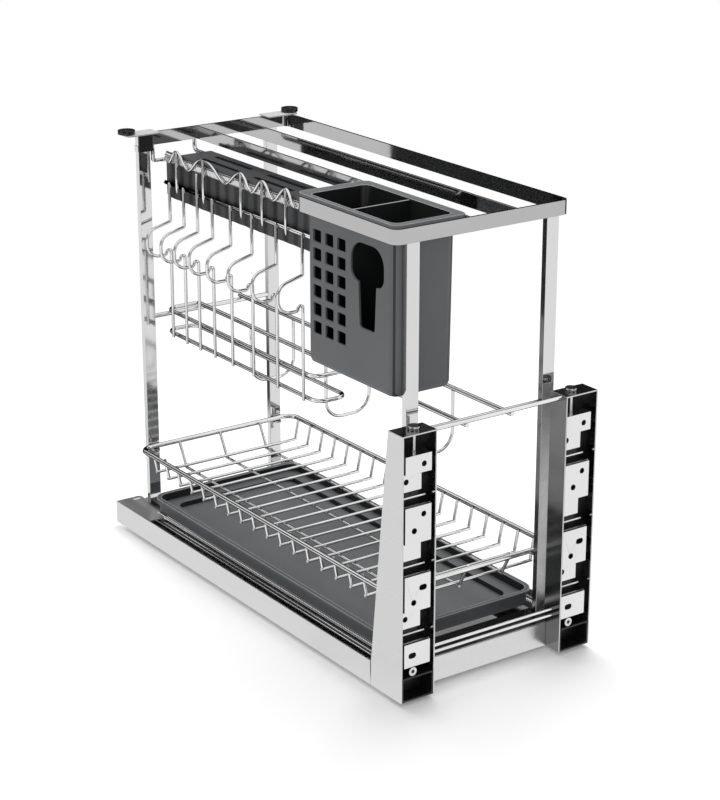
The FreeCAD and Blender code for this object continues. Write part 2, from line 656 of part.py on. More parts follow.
def base():
    """Side covers, base plates, fascia and the rails under the tray."""
    body = new_body("side_cover_left")
    wall = new_sketch(body, "side", "-outer_width / 2")
    draw(wall, box_corners("-cover_front", "rear_reach", "floor_gap", "base_top"))
    pad(body, wall, "sheet_wall")
    tab = new_sketch(body, "top", "base_top - sheet_wall")
    draw(tab, [
        ("-outer_width / 2", "rear_reach"),
        ("-outer_width / 2", "rear_reach - tab_length"),
        ("-outer_width / 2 + tab_width", "rear_reach - tab_length", "tab_radius"),
        ("-outer_width / 2 + tab_width", "rear_reach", "tab_rear_radius"),
    ])
    pad(body, tab, "sheet_wall")
    slot = new_sketch(body, "top", "base_top")
    slot_left = "-outer_width / 2 + tab_slot_inset"
    slot_rear = "rear_reach - tab_slot_setback"
    draw(slot, box_corners(slot_left, slot_left + " + tab_slot_length", slot_rear + " - tab_slot_width",
                           slot_rear, "tab_slot_width / 2 - 0.1"))
    cut(body, slot, "2 * sheet_wall")
    mirrored("side_cover_right", keep(body, "side_cover_left"))

    edge = "outer_width / 2 - tab_width"
    body = new_body("rear_base_plate")
    sketch = new_sketch(body, "top", "base_top - sheet_wall")
    draw(sketch, box_corners("-(%s)" % edge, edge, "rear_plate_end - base_plate_depth", "rear_plate_end"))
    pad(body, sketch, "sheet_wall")
    flange = new_sketch(body, "front", "-rear_plate_end")
    draw(flange, box_corners("-rear_flange_half", "rear_flange_half",
                             "base_top - rear_flange_drop", "base_top"))
    pad(body, flange, "sheet_wall")
    keep(body, "rear_base_plate")

    back = "-front_reach + bracket_depth"
    inside = "outer_width / 2 - sheet_wall"
    keep(bar("front_base_plate", ("-(%s)" % inside, back, "base_top - sheet_wall"),
             (inside, back + " + base_plate_depth", "base_top")), "front_base_plate")

    body = new_body("front_fascia")
    sketch = new_sketch(body, "side", "-bracket_inner")
    draw(sketch, [
        ("-fascia_front", "floor_gap"),
        ("-fascia_front + sheet_wall", "floor_gap"),
        ("-fascia_front + sheet_wall", "base_top - sheet_wall"),
        (back, "base_top - sheet_wall"),
        (back, "base_top"),
        ("-fascia_front", "base_top"),
    ])
    pad(body, sketch, "2 * bracket_inner")
    keep(body, "front_fascia")

    left = bar("tray_rail",
               ("-tray_rail_mid - tray_rail_width / 2", "-band_front + post_depth + slip", "base_top"),
               ("-tray_rail_mid + tray_rail_width / 2", "rear_post_front - slip",
                "base_top + sheet_wall"))
    group("tray_rails", [left, twin(left)])


def frame():
    """Four posts, the band on top of them and the strips across it."""
    low_front = ("-post_outer", "-band_front", "base_top")
    high_front = ("-post_outer + post_width", "-band_front + post_depth", "band_top - band_height")
    low_rear = ("-post_outer", "rear_post_front", "base_top")
    high_rear = ("-post_outer + post_width", "rear_post_front + post_depth", "band_top")
    front = keep(bar("post_front_left", low_front, high_front), "post_front_left")
    mirrored("post_front_right", front)
    rear = keep(bar("post_rear_left", low_rear, high_rear), "post_rear_left")
    mirrored("post_rear_right", rear)

    outer = "band_half"
    inner = "band_half - band_wall"
    small = "band_radius - band_wall"
    strip = "left_strip - band_wall / 2"
    body = new_body("top_band")
    sketch = new_sketch(body, "top", "band_top - band_height")
    draw(sketch, [
        ("-band_left_end", "rear_post_front"),
        ("-band_left_end", "rear_post_front - band_wall"),
        (inner, "rear_post_front - band_wall", small),
        (inner, "-band_front + band_wall", small),
        ("-(%s)" % inner, "-band_front + band_wall", small),
        ("-(%s)" % inner, "-ring_rear - band_wall", small),
        (strip, "-ring_rear - band_wall"),
        (strip, "-ring_rear"),
        ("-" + outer, "-ring_rear", "band_radius"),
        ("-" + outer, "-band_front", "band_radius"),
        (outer, "-band_front", "band_radius"),
        (outer, "rear_post_front", "band_radius"),
    ])
    pad(body, sketch, "band_height")
    keep(body, "top_band")

    for name, place in (("divider_strip_left", "left_strip"), ("divider_strip_right", "right_strip")):
        keep(bar(name, (place + " - band_wall / 2", "-band_front + band_wall", "band_top - band_height"),
                 (place + " + band_wall / 2", "rear_post_front - band_wall", "band_top")), name)


def guides():
    """The plates and rollers that steady the rear corners, and the dark corner bracket."""
    body = new_body("corner_bracket")
    sketch = new_sketch(body, "top", "band_top - corner_height")
    draw(sketch, box_corners("-post_outer", "-band_left_end", "rear_post_front - band_wall",
                             "rear_post_front"))
    pad(body, sketch, "corner_height")
    keep(body, "corner_bracket")

    body = new_body("guide_plate_left")
    sketch = new_sketch(body, "top", "band_top")
    draw(sketch, [
        ("-guide_plate_inner", "guide_plate_front", "guide_plate_corner"),
        ("-guide_plate_inner", "guide_plate_rear", "guide_plate_corner"),
        ("-roller_place - guide_plate_over", "guide_plate_rear", "guide_plate_round"),
        ("-roller_place - guide_plate_over", "guide_plate_front", "guide_plate_round"),
    ])
    pad(body, sketch, "guide_plate_wall")
    left = keep(body, "guide_plate_left")
    mirrored("guide_plate_right", left)

    plate_top = "band_top + guide_plate_wall"
    axle = rod("roller_axle", "z", ("-roller_place", "roller_depth", plate_top),
               "roller_height + slip", "roller_pin")
    group("roller_axles", [axle, twin(axle)])

    body = new_body("guide_roller_left")
    sketch = new_sketch(body, "top", plate_top + " + slip")
    draw_circle(sketch, "-roller_place", "roller_depth", "2 * roller_radius")
    draw_circle(sketch, "-roller_place", "roller_depth", "roller_pin + 2 * thread_gap")
    pad(body, sketch, "roller_height")
    mirrored("guide_roller_right", keep(body, "guide_roller_left"))


def utensil_bin():
    """The tall bin with its rim, vent holes and oval opening, and its partition."""
    body = new_body("utensil_bin")
    rim_under = "band_top + rim_gap"
    rim_top = rim_under + " + rim_thick"
    levels = (
        ("bin_floor", "bin_foot", "bin_draft"),
        ("bin_floor + 0.293 * bin_foot", "0.293 * bin_foot", "bin_draft"),
        ("bin_floor + bin_foot", "0", "bin_draft"),
        (rim_under, "0", "0"),
    )
    outlines = []
    for level, inset, lean in levels:
        outline = new_sketch(body, "top", level)
        draw(outline, box_corners("-bin_left + " + inset, "-bin_right - %s - %s" % (lean, inset),
                                  "-bin_front + " + inset, "-bin_rear - " + inset,
                                  "bin_corner - " + inset))
        outlines.append(outline)
    shell = body.newObject("PartDesign::AdditiveLoft", "Shell")
    shell.Profile = outlines[0]
    shell.Sections = outlines[1:]
    shell.Ruled = True
    doc.recompute()
    rim = new_sketch(body, "top", rim_under)
    draw(rim, box_corners("-rim_left", "-rim_right", "-rim_front", "-rim_rear", "rim_corner"))
    pad(body, rim, "rim_thick")
    low = new_sketch(body, "top", "bin_floor + bin_wall")
    inset = "bin_corner - bin_wall"
    draw(low, box_corners("-bin_left + bin_wall", "-bin_right - bin_draft - bin_wall",
                          "-bin_front + bin_wall", "-bin_rear - bin_wall", inset))
    high = new_sketch(body, "top", rim_top + " + 1")
    draw(high, box_corners("-bin_left + bin_wall", "-bin_right - bin_wall",
                           "-bin_front + bin_wall", "-bin_rear - bin_wall", inset))
    hollow = body.newObject("PartDesign::SubtractiveLoft", "Hollow")
    hollow.Profile = low
    hollow.Sections = [high]
    hollow.Ruled = True
    doc.recompute()
    vents = new_sketch(body, "side", "-bin_left - 1")
    for column in range(3):
        middle = "-vent_rear - %d * vent_column" % column
        draw(vents, box_corners(middle + " - vent_width / 2", middle + " + vent_width / 2",
                                "vent_top - vent_height / 2", "vent_top + vent_height / 2",
                                "vent_radius"))
    first = cut(body, vents, "bin_wall + 2", ahead=True)
    repeat(body, first, "top", "vent_row", "vent_rows", back=True)
    oval = new_sketch(body, "side", "-bin_left - 1")
    draw(oval, [
        ("-grip_mid - grip_half_width", "grip_level + grip_half_height", "grip_half_height - grip_flat"),
        ("-grip_mid - grip_half_width", "grip_level - grip_half_height",
         "grip_half_width - grip_stem_top - grip_flat"),
        ("-grip_mid - grip_stem_top", "grip_level - grip_half_height"),
        ("-grip_mid - grip_stem_foot", "grip_foot", "grip_corner"),
        ("-grip_mid + grip_stem_foot", "grip_foot", "grip_corner"),
        ("-grip_mid + grip_stem_top", "grip_level - grip_half_height"),
        ("-grip_mid + grip_half_width", "grip_level - grip_half_height",
         "grip_half_width - grip_stem_top - grip_flat"),
        ("-grip_mid + grip_half_width", "grip_level + grip_half_height", "grip_half_height - grip_flat"),
    ])
    cut(body, oval, "bin_wall + 2", ahead=True)
    keep(body, "utensil_bin")

    body = new_body("bin_partition")
    sketch = new_sketch(body, "front", "divider_mid - divider_wall / 2")
    lean = "bin_draft * (bin_wall + slip) / (band_top - bin_floor)"
    draw(sketch, [
        ("-bin_left + bin_wall + slip", "bin_floor + bin_wall + slip", "divider_corner"),
        ("-bin_right - bin_draft - bin_wall - slip + " + lean, "bin_floor + bin_wall + slip",
         "divider_corner"),
        ("-bin_right - bin_wall - slip", rim_top + " - divider_drop"),
        ("-bin_left + bin_wall + slip", rim_top + " - divider_drop"),
    ])
    pad(body, sketch, "divider_wall")
    keep(body, "bin_partition")


def knife_block():
    """The ribbed block that the knives drop into, hung by its edges."""
    body = new_body("knife_block")
    sketch = new_sketch(body, "side", "-block_left")
    draw(sketch, [
        ("-block_front", "block_top"),
        ("-block_front", "block_foot", "block_radius"),
        ("block_rear", "block_foot", "block_radius"),
        ("block_rear", "block_top"),
    ])
    pad(body, sketch, "block_left - block_right")
    groove = new_sketch(body, "top", "block_top - block_flange")
    draw(groove, box_corners("-block_left - 1", "-block_left + rib_depth",
                             "-block_front + rib_pitch", "-block_front + rib_pitch + rib_groove"))
    first = cut(body, groove, "block_top - block_foot")
    repeat(body, first, "front", "rib_pitch", "floor((block_front + block_rear) / rib_pitch) - 1", back=True)
    flange = new_sketch(body, "top", "block_top - block_flange")
    draw(flange, box_corners("-block_left - block_flange_reach", "-block_right + block_flange_right",
                             "-block_front", "block_rear"))
    pad(body, flange, "block_flange")
    slots = new_sketch(body, "top", "block_top")
    middle = "-(block_left + block_right) / 2"
    for row_side in (" - slot_row", " + slot_row"):
        for number in range(3):
            rear_end = "slot_first + slot_length / 2 - %d * slot_pitch" % number
            front_end = rear_end + " - slot_length" if number < 2 else "-block_front + slot_end"
            draw(slots, box_corners(middle + row_side + " - slot_width / 2",
                                    middle + row_side + " + slot_width / 2",
                                    front_end, rear_end))
    cut(body, slots, "block_top - block_foot + 1")
    keep(body, "knife_block")


def knife_cage():
    """Rods, rings and bent wires that keep the blades covered."""
    side = "-cage_side"
    post = "-post_outer + post_width"
    turn = "rear_post_front + post_depth / 2"
    for name, level in (("knife_rod_upper", "upper_rod_level"), ("knife_rod_middle", "middle_rod_level")):
        wire_piece(name, "top", level,
                   [(side, "-ring_rear"), (side, turn, "ring_radius"), (post, turn)], "rail_wire")
    keep(bar("knife_rod_hanger",
             (side + " - rail_wire / 2", "-ring_rear - band_wall", "middle_rod_level - rail_wire"),
             (side + " + rail_wire / 2", "-ring_rear", "band_top - band_height")), "knife_rod_hanger")
    under = "band_top - band_height"
    wire_piece("knife_rod_right", "side", "-right_rod", [
        ("-ring_rear - band_wall / 2", under),
        ("-ring_rear - band_wall / 2", "upper_rod_level", "right_rod_bend"),
        ("rear_post_front - band_wall / 2", "upper_rod_level", "right_rod_bend"),
        ("rear_post_front - band_wall / 2", under),
    ], "rail_wire")

    ring_level = "board_level - (board_wire - rail_wire) / 2"
    board_left = "left_strip - board_wire / 2"
    wire_piece("knife_ring_upper", "top", ring_level, [
        (board_left, "upper_ring_rear"),
        (side, "upper_ring_rear", "ring_radius"),
        (side, "-upper_ring_front", "ring_radius"),
        (board_left, "-upper_ring_front"),
    ], "rail_wire")
    right = "left_strip - hoop_wire / 2 - rail_wire / 2"
    wire_piece("knife_ring_lower", "top", "lower_ring_level", [
        (side, "-lower_ring_front", "ring_radius"),
        (right, "-lower_ring_front", "ring_radius"),
        (right, "upper_ring_rear", "ring_radius"),
        (side, "upper_ring_rear", "ring_radius"),
    ], "rail_wire", closed=True)

    out = "-cage_side - rail_wire / 2 - cage_wire / 2"
    wires = []
    for forward in CAGE_WIRES:
        body = new_body("cage_wire")
        bent_wire(body, "front", "-cage_rear + cage_span * %d / %d" % (forward, CAGE_WIRES[-1]), [
            (out, "middle_rod_level + rail_wire / 2"),
            (out, "bulge_top"),
            (out + " - bulge_reach", "bulge_shoulder", "bulge_radius"),
            (out + " - bulge_reach", "bulge_foot", "bulge_low_radius"),
            (out, "bulge_foot"),
            (out, "lower_ring_level - rail_wire / 2"),
        ], "cage_wire")
        wires.append(body)
    group("cage_wires", wires)

    front_of_rod = "-cage_side - rail_wire / 2 - wave_wire / 2"
    peaks = ["cage_rear - cage_span * %d / %d" % (forward, CAGE_WIRES[-1]) for forward in WAVE_PEAKS]
    corners = [("cage_rear", "wave_trough")]
    for peak, following in zip(peaks, peaks[1:]):
        corners.append((peak, "wave_peak", "wave_radius"))
        corners.append(("(%s + %s) / 2" % (peak, following), "wave_trough", "wave_radius"))
    corners.append((peaks[-1], "wave_peak", "wave_radius"))
    corners.append((peaks[-1] + " - wave_end", "wave_trough"))
    wire_piece("wave_wire", "side", front_of_rod, corners, "wave_wire")
    drops = []
    for peak in peaks:
        drops.append(rod("drop_wire", "z",
                         (out, peak, "middle_rod_level - rail_wire / 2"),
                         "wave_peak - middle_rod_level - wave_radius / 2", "cage_wire"))
    group("drop_wires", drops)


def board_frame():
    """The wire frame and hoops that the cutting boards stand in."""
    start = "-front_cross_place - board_wire / 2"
    span = "rear_cross_place + front_cross_place + board_wire"
    group("board_wires", [
        rod("board_wire", "y", (place, start, "board_level"), span, "board_wire")
        for place in ("left_strip", "board_wire_right")])
    inside = "post_outer - post_width"
    group("board_cross_wires", [
        rod("cross_wire", "x", ("-(%s)" % inside, place, level), "2 * (%s)" % inside, "board_wire")
        for place, level in (("rear_cross_place", "board_level - board_wire"),
                             ("-front_cross_place", "board_level + board_wire"))])
    top = "board_level - board_wire / 2"
    for number, name in enumerate(("board_hoop_rear", "board_hoop_middle", "board_hoop_front")):
        wire_piece(name, "front", "-hoop_first + %d * hoop_pitch" % number, [
            ("left_strip", top),
            ("left_strip", "hoop_floor", "hoop_radius"),
            ("board_wire_right", "hoop_floor", "hoop_radius"),
            ("board_wire_right", top),
        ], "hoop_wire")


def lower_basket():
    """The shallow wire basket and the hooks that it hangs on."""
    wire_piece("basket_rim", "top", "rim_level", [
        ("-rim_half", "-rim_front_side", "rim_radius"),
        ("rim_half", "-rim_front_side", "rim_radius"),
        ("rim_half", "rim_rear_side", "rim_radius"),
        ("-rim_half", "rim_rear_side", "rim_radius"),
    ], "rim_wire", closed=True)

    body = new_body("basket_floor_wires")
    sketch = new_sketch(body, "side", "-basket_half")
    draw_circle(sketch, "basket_first", "basket_floor", "basket_wire")
    first = pad(body, sketch, "2 * basket_half")
    repeat(body, first, "front", "basket_pitch", "basket_count")
    cross_wires = body

    inner_rim = "rim_half - rim_wire / 2 - basket_wire / 2"
    body = new_body("basket_side_wires_left")
    first = bent_wire(body, "front", "-basket_first", [
        ("-basket_half + basket_wire / 2", "basket_floor + basket_wire / 2 + slip"),
        ("-(%s)" % inner_rim, "rim_level + basket_wire_rise"),
    ], "basket_wire")
    repeat(body, first, "front", "basket_pitch", "basket_count")
    mirrored("basket_side_wires_right", keep(body, "basket_side_wires_left"))

    long_level = "basket_floor - basket_wire"
    long_start = "-basket_long_pitch * (basket_long_count - 1) / 2"
    front_foot = "-rim_front_side + rim_wire / 2 + basket_wire / 2 + basket_taper"
    rear_foot = "rim_rear_side - rim_wire / 2 - basket_wire / 2 - basket_taper"
    body = new_body("basket_long_wires")
    sketch = new_sketch(body, "front", "-(%s)" % rear_foot)
    draw_circle(sketch, long_start, long_level, "basket_wire")
    first = pad(body, sketch, "(%s) - (%s)" % (rear_foot, front_foot))
    repeat(body, first, "side", "basket_long_pitch", "basket_long_count")
    group("basket_floor_wires", [cross_wires, body])

    ends = []
    for foot, top in ((front_foot, "-rim_front_side + rim_wire / 2 + basket_wire / 2"),
                      (rear_foot, "rim_rear_side - rim_wire / 2 - basket_wire / 2")):
        body = new_body("basket_end_wire")
        first = bent_wire(body, "side", long_start, [
            (foot, long_level + " + basket_wire / 2"),
            (top, "rim_level + basket_wire_rise"),
        ], "basket_wire")
        repeat(body, first, "side", "basket_long_pitch", "basket_long_count")
        ends.append(body)
    group("basket_end_wires", ends)

    shelf_top = "rim_level - rim_wire / 2 - slip"
    middle = "-post_outer + post_width / 2"
    hooks = []
    for sign, wall, reach in (("+", "-band_front + post_depth", "-rim_front_side"),
                              ("-", "rear_post_front", "rim_rear_side")):
        body = new_body("basket_hook")
        sketch = new_sketch(body, "side", middle + " - hook_width / 2")
        draw(sketch, [
            (wall, shelf_top + " - hook_shelf"),
            (wall + " %s hook_wall" % sign, shelf_top + " - hook_shelf"),
            (reach + " %s rim_wire / 2" % sign, shelf_top + " - hook_shelf"),
            (reach + " %s rim_wire / 2" % sign, shelf_top),
            (wall + " %s hook_wall" % sign, shelf_top),
            (wall + " %s hook_wall" % sign, shelf_top + " + hook_height"),
            (wall, shelf_top + " + hook_height"),
        ])
        first = pad(body, sketch, "hook_width")
        repeat(body, first, "side", "2 * post_outer - post_width", "2")
        hooks.append(body)
    group("basket_hooks", hooks)


def drip_tray():
    """The shallow tray with its outward rim and stepped floor."""
    body = new_body("drip_tray")
    floor = "base_top + sheet_wall + slip"
    sketch = new_sketch(body, "top", floor)
    draw(sketch, box_corners("-tray_half + tray_lip", "tray_half - tray_lip",
                             "-tray_front + tray_lip", "tray_rear - tray_lip",
                             "tray_radius - tray_lip"))
    pad(body, sketch, "tray_top - (%s)" % floor)
    rim = new_sketch(body, "top", "tray_top - tray_wall")
    draw(rim, box_corners("-tray_half", "tray_half", "-tray_front", "tray_rear", "tray_radius"))
    pad(body, rim, "tray_wall")
    for inset, level in (("tray_wall", "tray_wall + tray_step_height"),
                         ("tray_wall + tray_step", "tray_wall")):
        side = "tray_lip + " + inset
        hollow = new_sketch(body, "top", "tray_top + 1")
        draw(hollow, box_corners("-tray_half + " + side, "tray_half - (%s)" % side,
                                 "-tray_front + " + side, "tray_rear - (%s)" % side,
                                 "tray_hollow_radius"))
        cut(body, hollow, "tray_top + 1 - (%s) - (%s)" % (floor, level))
    keep(body, "drip_tray")


def door_brackets():
    """The two brackets that carry the cabinet door, with plates, screws and caps."""
    front = "-front_reach"
    outer = "-outer_width / 2"
    back = "-front_reach + bracket_depth"
    body = new_body("door_bracket_left")
    shell = new_sketch(body, "top", "floor_gap")
    draw(shell, [
        (outer, front),
        (outer + " + sheet_wall", front),
        (outer + " + sheet_wall", back + " - sheet_wall"),
        ("-bracket_inner - sheet_wall", back + " - sheet_wall"),
        ("-bracket_inner - sheet_wall", front),
        ("-bracket_inner", front),
        ("-bracket_inner", back),
        (outer, back),
    ])
    pad(body, shell, "bracket_top - floor_gap")
    lid = new_sketch(body, "top", "bracket_top - sheet_wall")
    draw(lid, box_corners(outer, "-bracket_inner", front, back))
    pad(body, lid, "sheet_wall")
    wing = new_sketch(body, "side", outer)
    draw(wing, [
        (back + " - 1", "floor_gap"),
        ("-bracket_foot_rear", "floor_gap"),
        ("-bracket_foot_rear", "base_top"),
        (back, "bracket_top"),
        (back + " - 1", "bracket_top"),
    ])
    pad(body, wing, "sheet_wall")
    hole = new_sketch(body, "top", "bracket_top")
    draw_circle(hole, "-screw_place", "-front_reach + screw_setback", "screw_shank + 2 * thread_gap")
    draw(hole, box_corners("-screw_place - key_place - key_length", "-screw_place - key_place",
                           "-front_reach + screw_setback - key_width / 2",
                           "-front_reach + screw_setback + key_width / 2", "key_width / 2 - 0.1"))
    cut(body, hole, "2 * sheet_wall")
    bracket = keep(body, "door_bracket_left")
    mirrored("door_bracket_right", bracket)

    left = outer + " + sheet_wall + plate_side_gap"
    door_plate("door_plate_left", left, "-screw_place")
    door_plate("door_plate_right", left + " + plate_shift", "screw_place")

    place = ("-screw_place", "-front_reach + screw_setback")
    body = new_body("height_screw_left")
    shank = new_sketch(body, "top", "screw_foot")
    draw_circle(shank, place[0], place[1], "screw_shank")
    pad(body, shank, "bracket_top - screw_foot")
    head = new_sketch(body, "top", "bracket_top")
    draw_circle(head, place[0], place[1], "screw_head")
    pad(body, head, "screw_head_height")
    cross = new_sketch(body, "top", "bracket_top + screw_head_height")
    draw(cross, box_corners(place[0] + " - screw_drive", place[0] + " + screw_drive",
                            place[1] + " - drive_width / 2", place[1] + " + drive_width / 2"))
    cut(body, cross, "screw_head_height / 2")
    mirrored("height_screw_right", keep(body, "height_screw_left"))

    web = "front_reach - bracket_depth + sheet_wall"
    head_back = "front_reach - plate_setback - fixing_head_height"
    screws = []
    for centre in ("-fixing_place", "-fixing_place + plate_shift"):
        body = new_body("foot_screw")
        shank = new_sketch(body, "front", web)
        draw_circle(shank, centre, "fixing_level", "fixing_shank")
        pad(body, shank, head_back + " - (%s)" % web)
        head = new_sketch(body, "front", head_back)
        draw_circle(head, centre, "fixing_level", "fixing_head")
        pad(body, head, "fixing_head_height")
        screws.append(body)
    group("foot_screws", screws)

    body = new_body("end_cap_left")
    wall_left = outer + " + sheet_wall"
    wall_right = "-bracket_inner - sheet_wall"
    solid = new_sketch(body, "front", "front_reach - cap_depth")
    draw(solid, box_corners(wall_left, wall_right, "floor_gap", "floor_gap + cap_height"))
    pad(body, solid, "cap_depth - cap_setback")
    hollow = new_sketch(body, "front", "front_reach")
    draw(hollow, box_corners(wall_left + " + cap_wall", wall_right + " - cap_wall",
                             "floor_gap + cap_wall", "floor_gap + cap_height - cap_wall", "cap_corner"))
    cut(body, hollow, "cap_depth - cap_wall")
    mirrored("end_cap_right", keep(body, "end_cap_left"))

    rod_place = "-front_reach + rod_setback"
    rods = [rod("tie_rod", "x", ("-bracket_inner", rod_place, "tie_rod_level"),
                "2 * bracket_inner", "rail_wire")]
    for number in range(2):
        level = "lower_rod_level + %d * lower_rod_pitch" % number
        rods.append(rod("lower_rod", "x", ("-bracket_inner", rod_place, level),
                        "2 * bracket_inner", "lower_rod"))
    group("bracket_tie_rods", rods)


def door_plate(name, left, screw):
    """The stepped plate inside a bracket: proud, recessed and set-back faces in turn."""
    face = "-front_reach + plate_setback"
    recess = face + " + plate_step"
    back = face + " + 2 * plate_step"
    front_line = [(face, "plate_top")]
    rear_line = [(face + " + plate_wall", "plate_top - plate_wall")]
    for number in range(3):
        top = "plate_origin - %d * plate_pitch" % number
        low = top + " - plate_proud"
        foot = low + " - plate_recess"
        following = "plate_origin - %d * plate_pitch" % (number + 1)
        front_line += [(face, low), (recess, low), (recess, foot), (back, foot),
                       (back, following), (face, following)]
        rear_line += [(face + " + plate_wall", low + " + plate_wall"),
                      (recess + " + plate_wall", low + " + plate_wall"),
                      (recess + " + plate_wall", foot + " + plate_wall"),
                      (back + " + plate_wall", foot + " + plate_wall"),
                      (back + " + plate_wall", following + " - plate_wall"),
                      (face + " + plate_wall", following + " - plate_wall")]
    lid_back = "-front_reach + bracket_depth - sheet_wall - 2 * slip"
    outline = [(lid_back, "plate_top - plate_wall"), (lid_back, "plate_top")] + front_line
    outline += [(face, "plate_foot"), (face + " + plate_wall", "plate_foot")]
    outline += list(reversed(rear_line))
    body = new_body(name)
    sketch = new_sketch(body, "side", left)
    draw(sketch, outline)
    pad(body, sketch, "plate_width")

    window = new_sketch(body, "front", "front_reach + 1")
    for number in range(3):
        draw(window, box_corners(left + " + plate_narrow", left + " + plate_width + 1",
                                 "plate_origin - %d * plate_pitch" % (number + 1),
                                 "plate_origin - %d * plate_pitch - plate_proud" % number))
    cut(body, window, "bracket_depth")

    holes = new_sketch(body, "front", "front_reach + 1")
    for place, level, diameter in (
            ("door_hole_place", "door_hole_top", "door_hole"),
            ("door_hole_place", "door_hole_top - door_hole_pitch", "door_hole"),
            ("side_place", "side_hole_top", "door_hole"),
            ("side_place", "side_hole_low", "door_hole"),
            ("pin_hole_place", "pin_hole_top", "pin_hole"),
            ("pin_hole_place", "pin_hole_low", "pin_hole")):
        draw_circle(holes, left + " + " + place, level, diameter)
    for place, level in (("door_hole_place", "door_slot_level"), ("foot_slot_place", "foot_slot_level")):
        middle = left + " + " + place
        draw(holes, box_corners(middle + " - door_slot / 2", middle + " + door_slot / 2",
                                level + " - door_hole / 2", level + " + door_hole / 2",
                                "door_hole / 2 - 0.05"))
    cut(body, holes, "bracket_depth - sheet_wall - 2")
    thread = new_sketch(body, "top", "plate_top + 1")
    draw_circle(thread, screw, "-front_reach + screw_setback", "screw_shank + 2 * thread_gap")
    cut(body, thread, "plate_wall + 2")
    keep(body, name)


def check_document():
    """Stop if an object failed or a sub-part has no valid shape."""
    doc.recompute()
    for item in doc.Objects:
        if "Invalid" in item.State or "Error" in item.State:
            raise RuntimeError("failed object: " + item.Name)
    for item in pieces:
        if item.Shape.isNull() or not item.Shape.isValid():
            raise RuntimeError("no valid shape: " + item.Label)


def export_pieces():
    os.makedirs("parts", exist_ok=True)
    for item in pieces:
        item.Shape.exportStep(os.path.join("parts", item.Label + ".step"))


rails()
base()
frame()
guides()
utensil_bin()
knife_block()
knife_cage()
board_frame()
lower_basket()
drip_tray()
door_brackets()
check_document()
export_pieces()
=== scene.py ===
import json
import math

import bpy
import numpy as np
from bpy.props import FloatProperty, FloatVectorProperty, IntProperty, PointerProperty
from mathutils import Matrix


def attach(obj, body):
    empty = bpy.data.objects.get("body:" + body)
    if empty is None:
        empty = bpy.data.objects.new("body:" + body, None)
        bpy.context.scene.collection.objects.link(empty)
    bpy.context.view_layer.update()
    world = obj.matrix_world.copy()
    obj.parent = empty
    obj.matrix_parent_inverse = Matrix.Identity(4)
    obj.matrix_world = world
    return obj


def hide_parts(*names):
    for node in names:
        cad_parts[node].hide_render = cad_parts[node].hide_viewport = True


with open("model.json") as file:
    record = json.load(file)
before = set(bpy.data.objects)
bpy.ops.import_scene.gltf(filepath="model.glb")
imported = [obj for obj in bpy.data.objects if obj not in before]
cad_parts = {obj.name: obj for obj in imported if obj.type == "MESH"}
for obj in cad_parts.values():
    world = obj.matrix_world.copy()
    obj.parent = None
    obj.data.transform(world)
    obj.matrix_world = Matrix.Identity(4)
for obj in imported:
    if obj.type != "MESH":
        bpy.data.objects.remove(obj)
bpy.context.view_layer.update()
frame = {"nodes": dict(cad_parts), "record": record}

bl_info = {
    "name": "Pull-out rack dressing",
    "version": (1, 0, 0),
    "blender": (4, 2, 0),
    "location": "3D View > Sidebar > Rack",
    "description": "Dresses the packed rack with finishes and fine pieces, and sets its stage",
    "category": "Object",
}

MM = 0.001

# Dark studio screens: start and end in degrees, counter-clockwise from +X
SCREENS = ((28, 84), (108, 152), (186, 236), (258, 300), (332, 368))
# Cage wires from rear to front, mm; the third one is the long one
CAGE_PLACES = (213, 186, 160, 132, 99, 61, 19, -25)
LONG_WIRE = 2
# Wave wire from rear to front: place and level of each turning point, mm
WAVE = ((214, 384.5), (198, 398), (176, 383.5), (151, 398.5), (141, 398.5), (108, 384),
        (79, 399.5), (60, 385), (41, 399.5), (23, 385), (1, 400), (-12, 386))
# Drop wires from rear to front, mm
DROPS = (198, 147.5, 79, 42, 2)
# Materials made so far, by name
MADE = {}
# Nodes whose finish isn't their slot's own one; the front base plate and the rails get a
# painted dark reflection
OTHER_FINISH = {"knife_block": "block_plastic",
                "guide_plate_left": "satin_plate", "guide_plate_right": "satin_plate",
                "front_base_plate": "dark_mirror", "tray_rails": "dark_mirror",
                "cabinet_rail_left": "dark_mirror", "cabinet_rail_right": "dark_mirror"}
# Painted light on the brackets' inner walls: lower and upper level of each lit bit, mm
WALL_LIGHTS = ((24.7, 31), (67, 84), (90.5, 99.5), (105.5, 116.5), (132, 149), (156.5, 165),
               (193.5, 210), (216.5, 223))
# Deep steps of a door plate, painted with shade and highlights: lower and upper level, and the
# planes they lie between, mm
STEPS = ((55.3, 70), (118.5, 133), (181.7, 197))
STEP_FRONT, STEP_REAR = -243.2, -241.0
# Insides of the bin and of the tray, painted with shade: two opposite corners, mm
BIN_INSIDE = ((-88.2, -213.7, 267.5), (-26.0, -86.3, 417.5))
TRAY_INSIDE = ((-84.5, -194.0, 26.5), (84.5, 206.0, math.inf))
# Rim lines of painted highlight: name, body and level, then left, right, front, rear and
# corner radius of each, mm
RIMS = (("bin_rim_lines", "bin", 418.0, ((-92.4, -17.4, -220.6, -74.4, 6.6),
                                         (-88.1, -26.2, -213.6, -86.4, 7.1))),
        ("tray_rim_lines", "tray", 40.0, ((-88.1, 88.1, -197.6, 209.6, 15.6),
                                          (-84.0, 84.0, -193.5, 205.5, 11.5))))
# Lamps: name, place in metres, size in metres, and the setting with its power
LAMPS = (("key", (0.5, 0.7, 2.3), 2.0, "key_power"),
         ("fill", (-2.2, -1.4, 1.5), 1.8, "fill_power"))
LAMP_AIM = (0, 0, 0.2)
# Range that the values of a noise mostly keep to
NOISE_LOW, NOISE_HIGH = 0.3, 0.7
# Layer weights between which painted shade darkens the side of a round wire
EDGE_SHADE_START, EDGE_SHADE_END = 0.34, 0.74
# Part of a normal along a direction, above which a face counts as facing it
FACING = 0.9
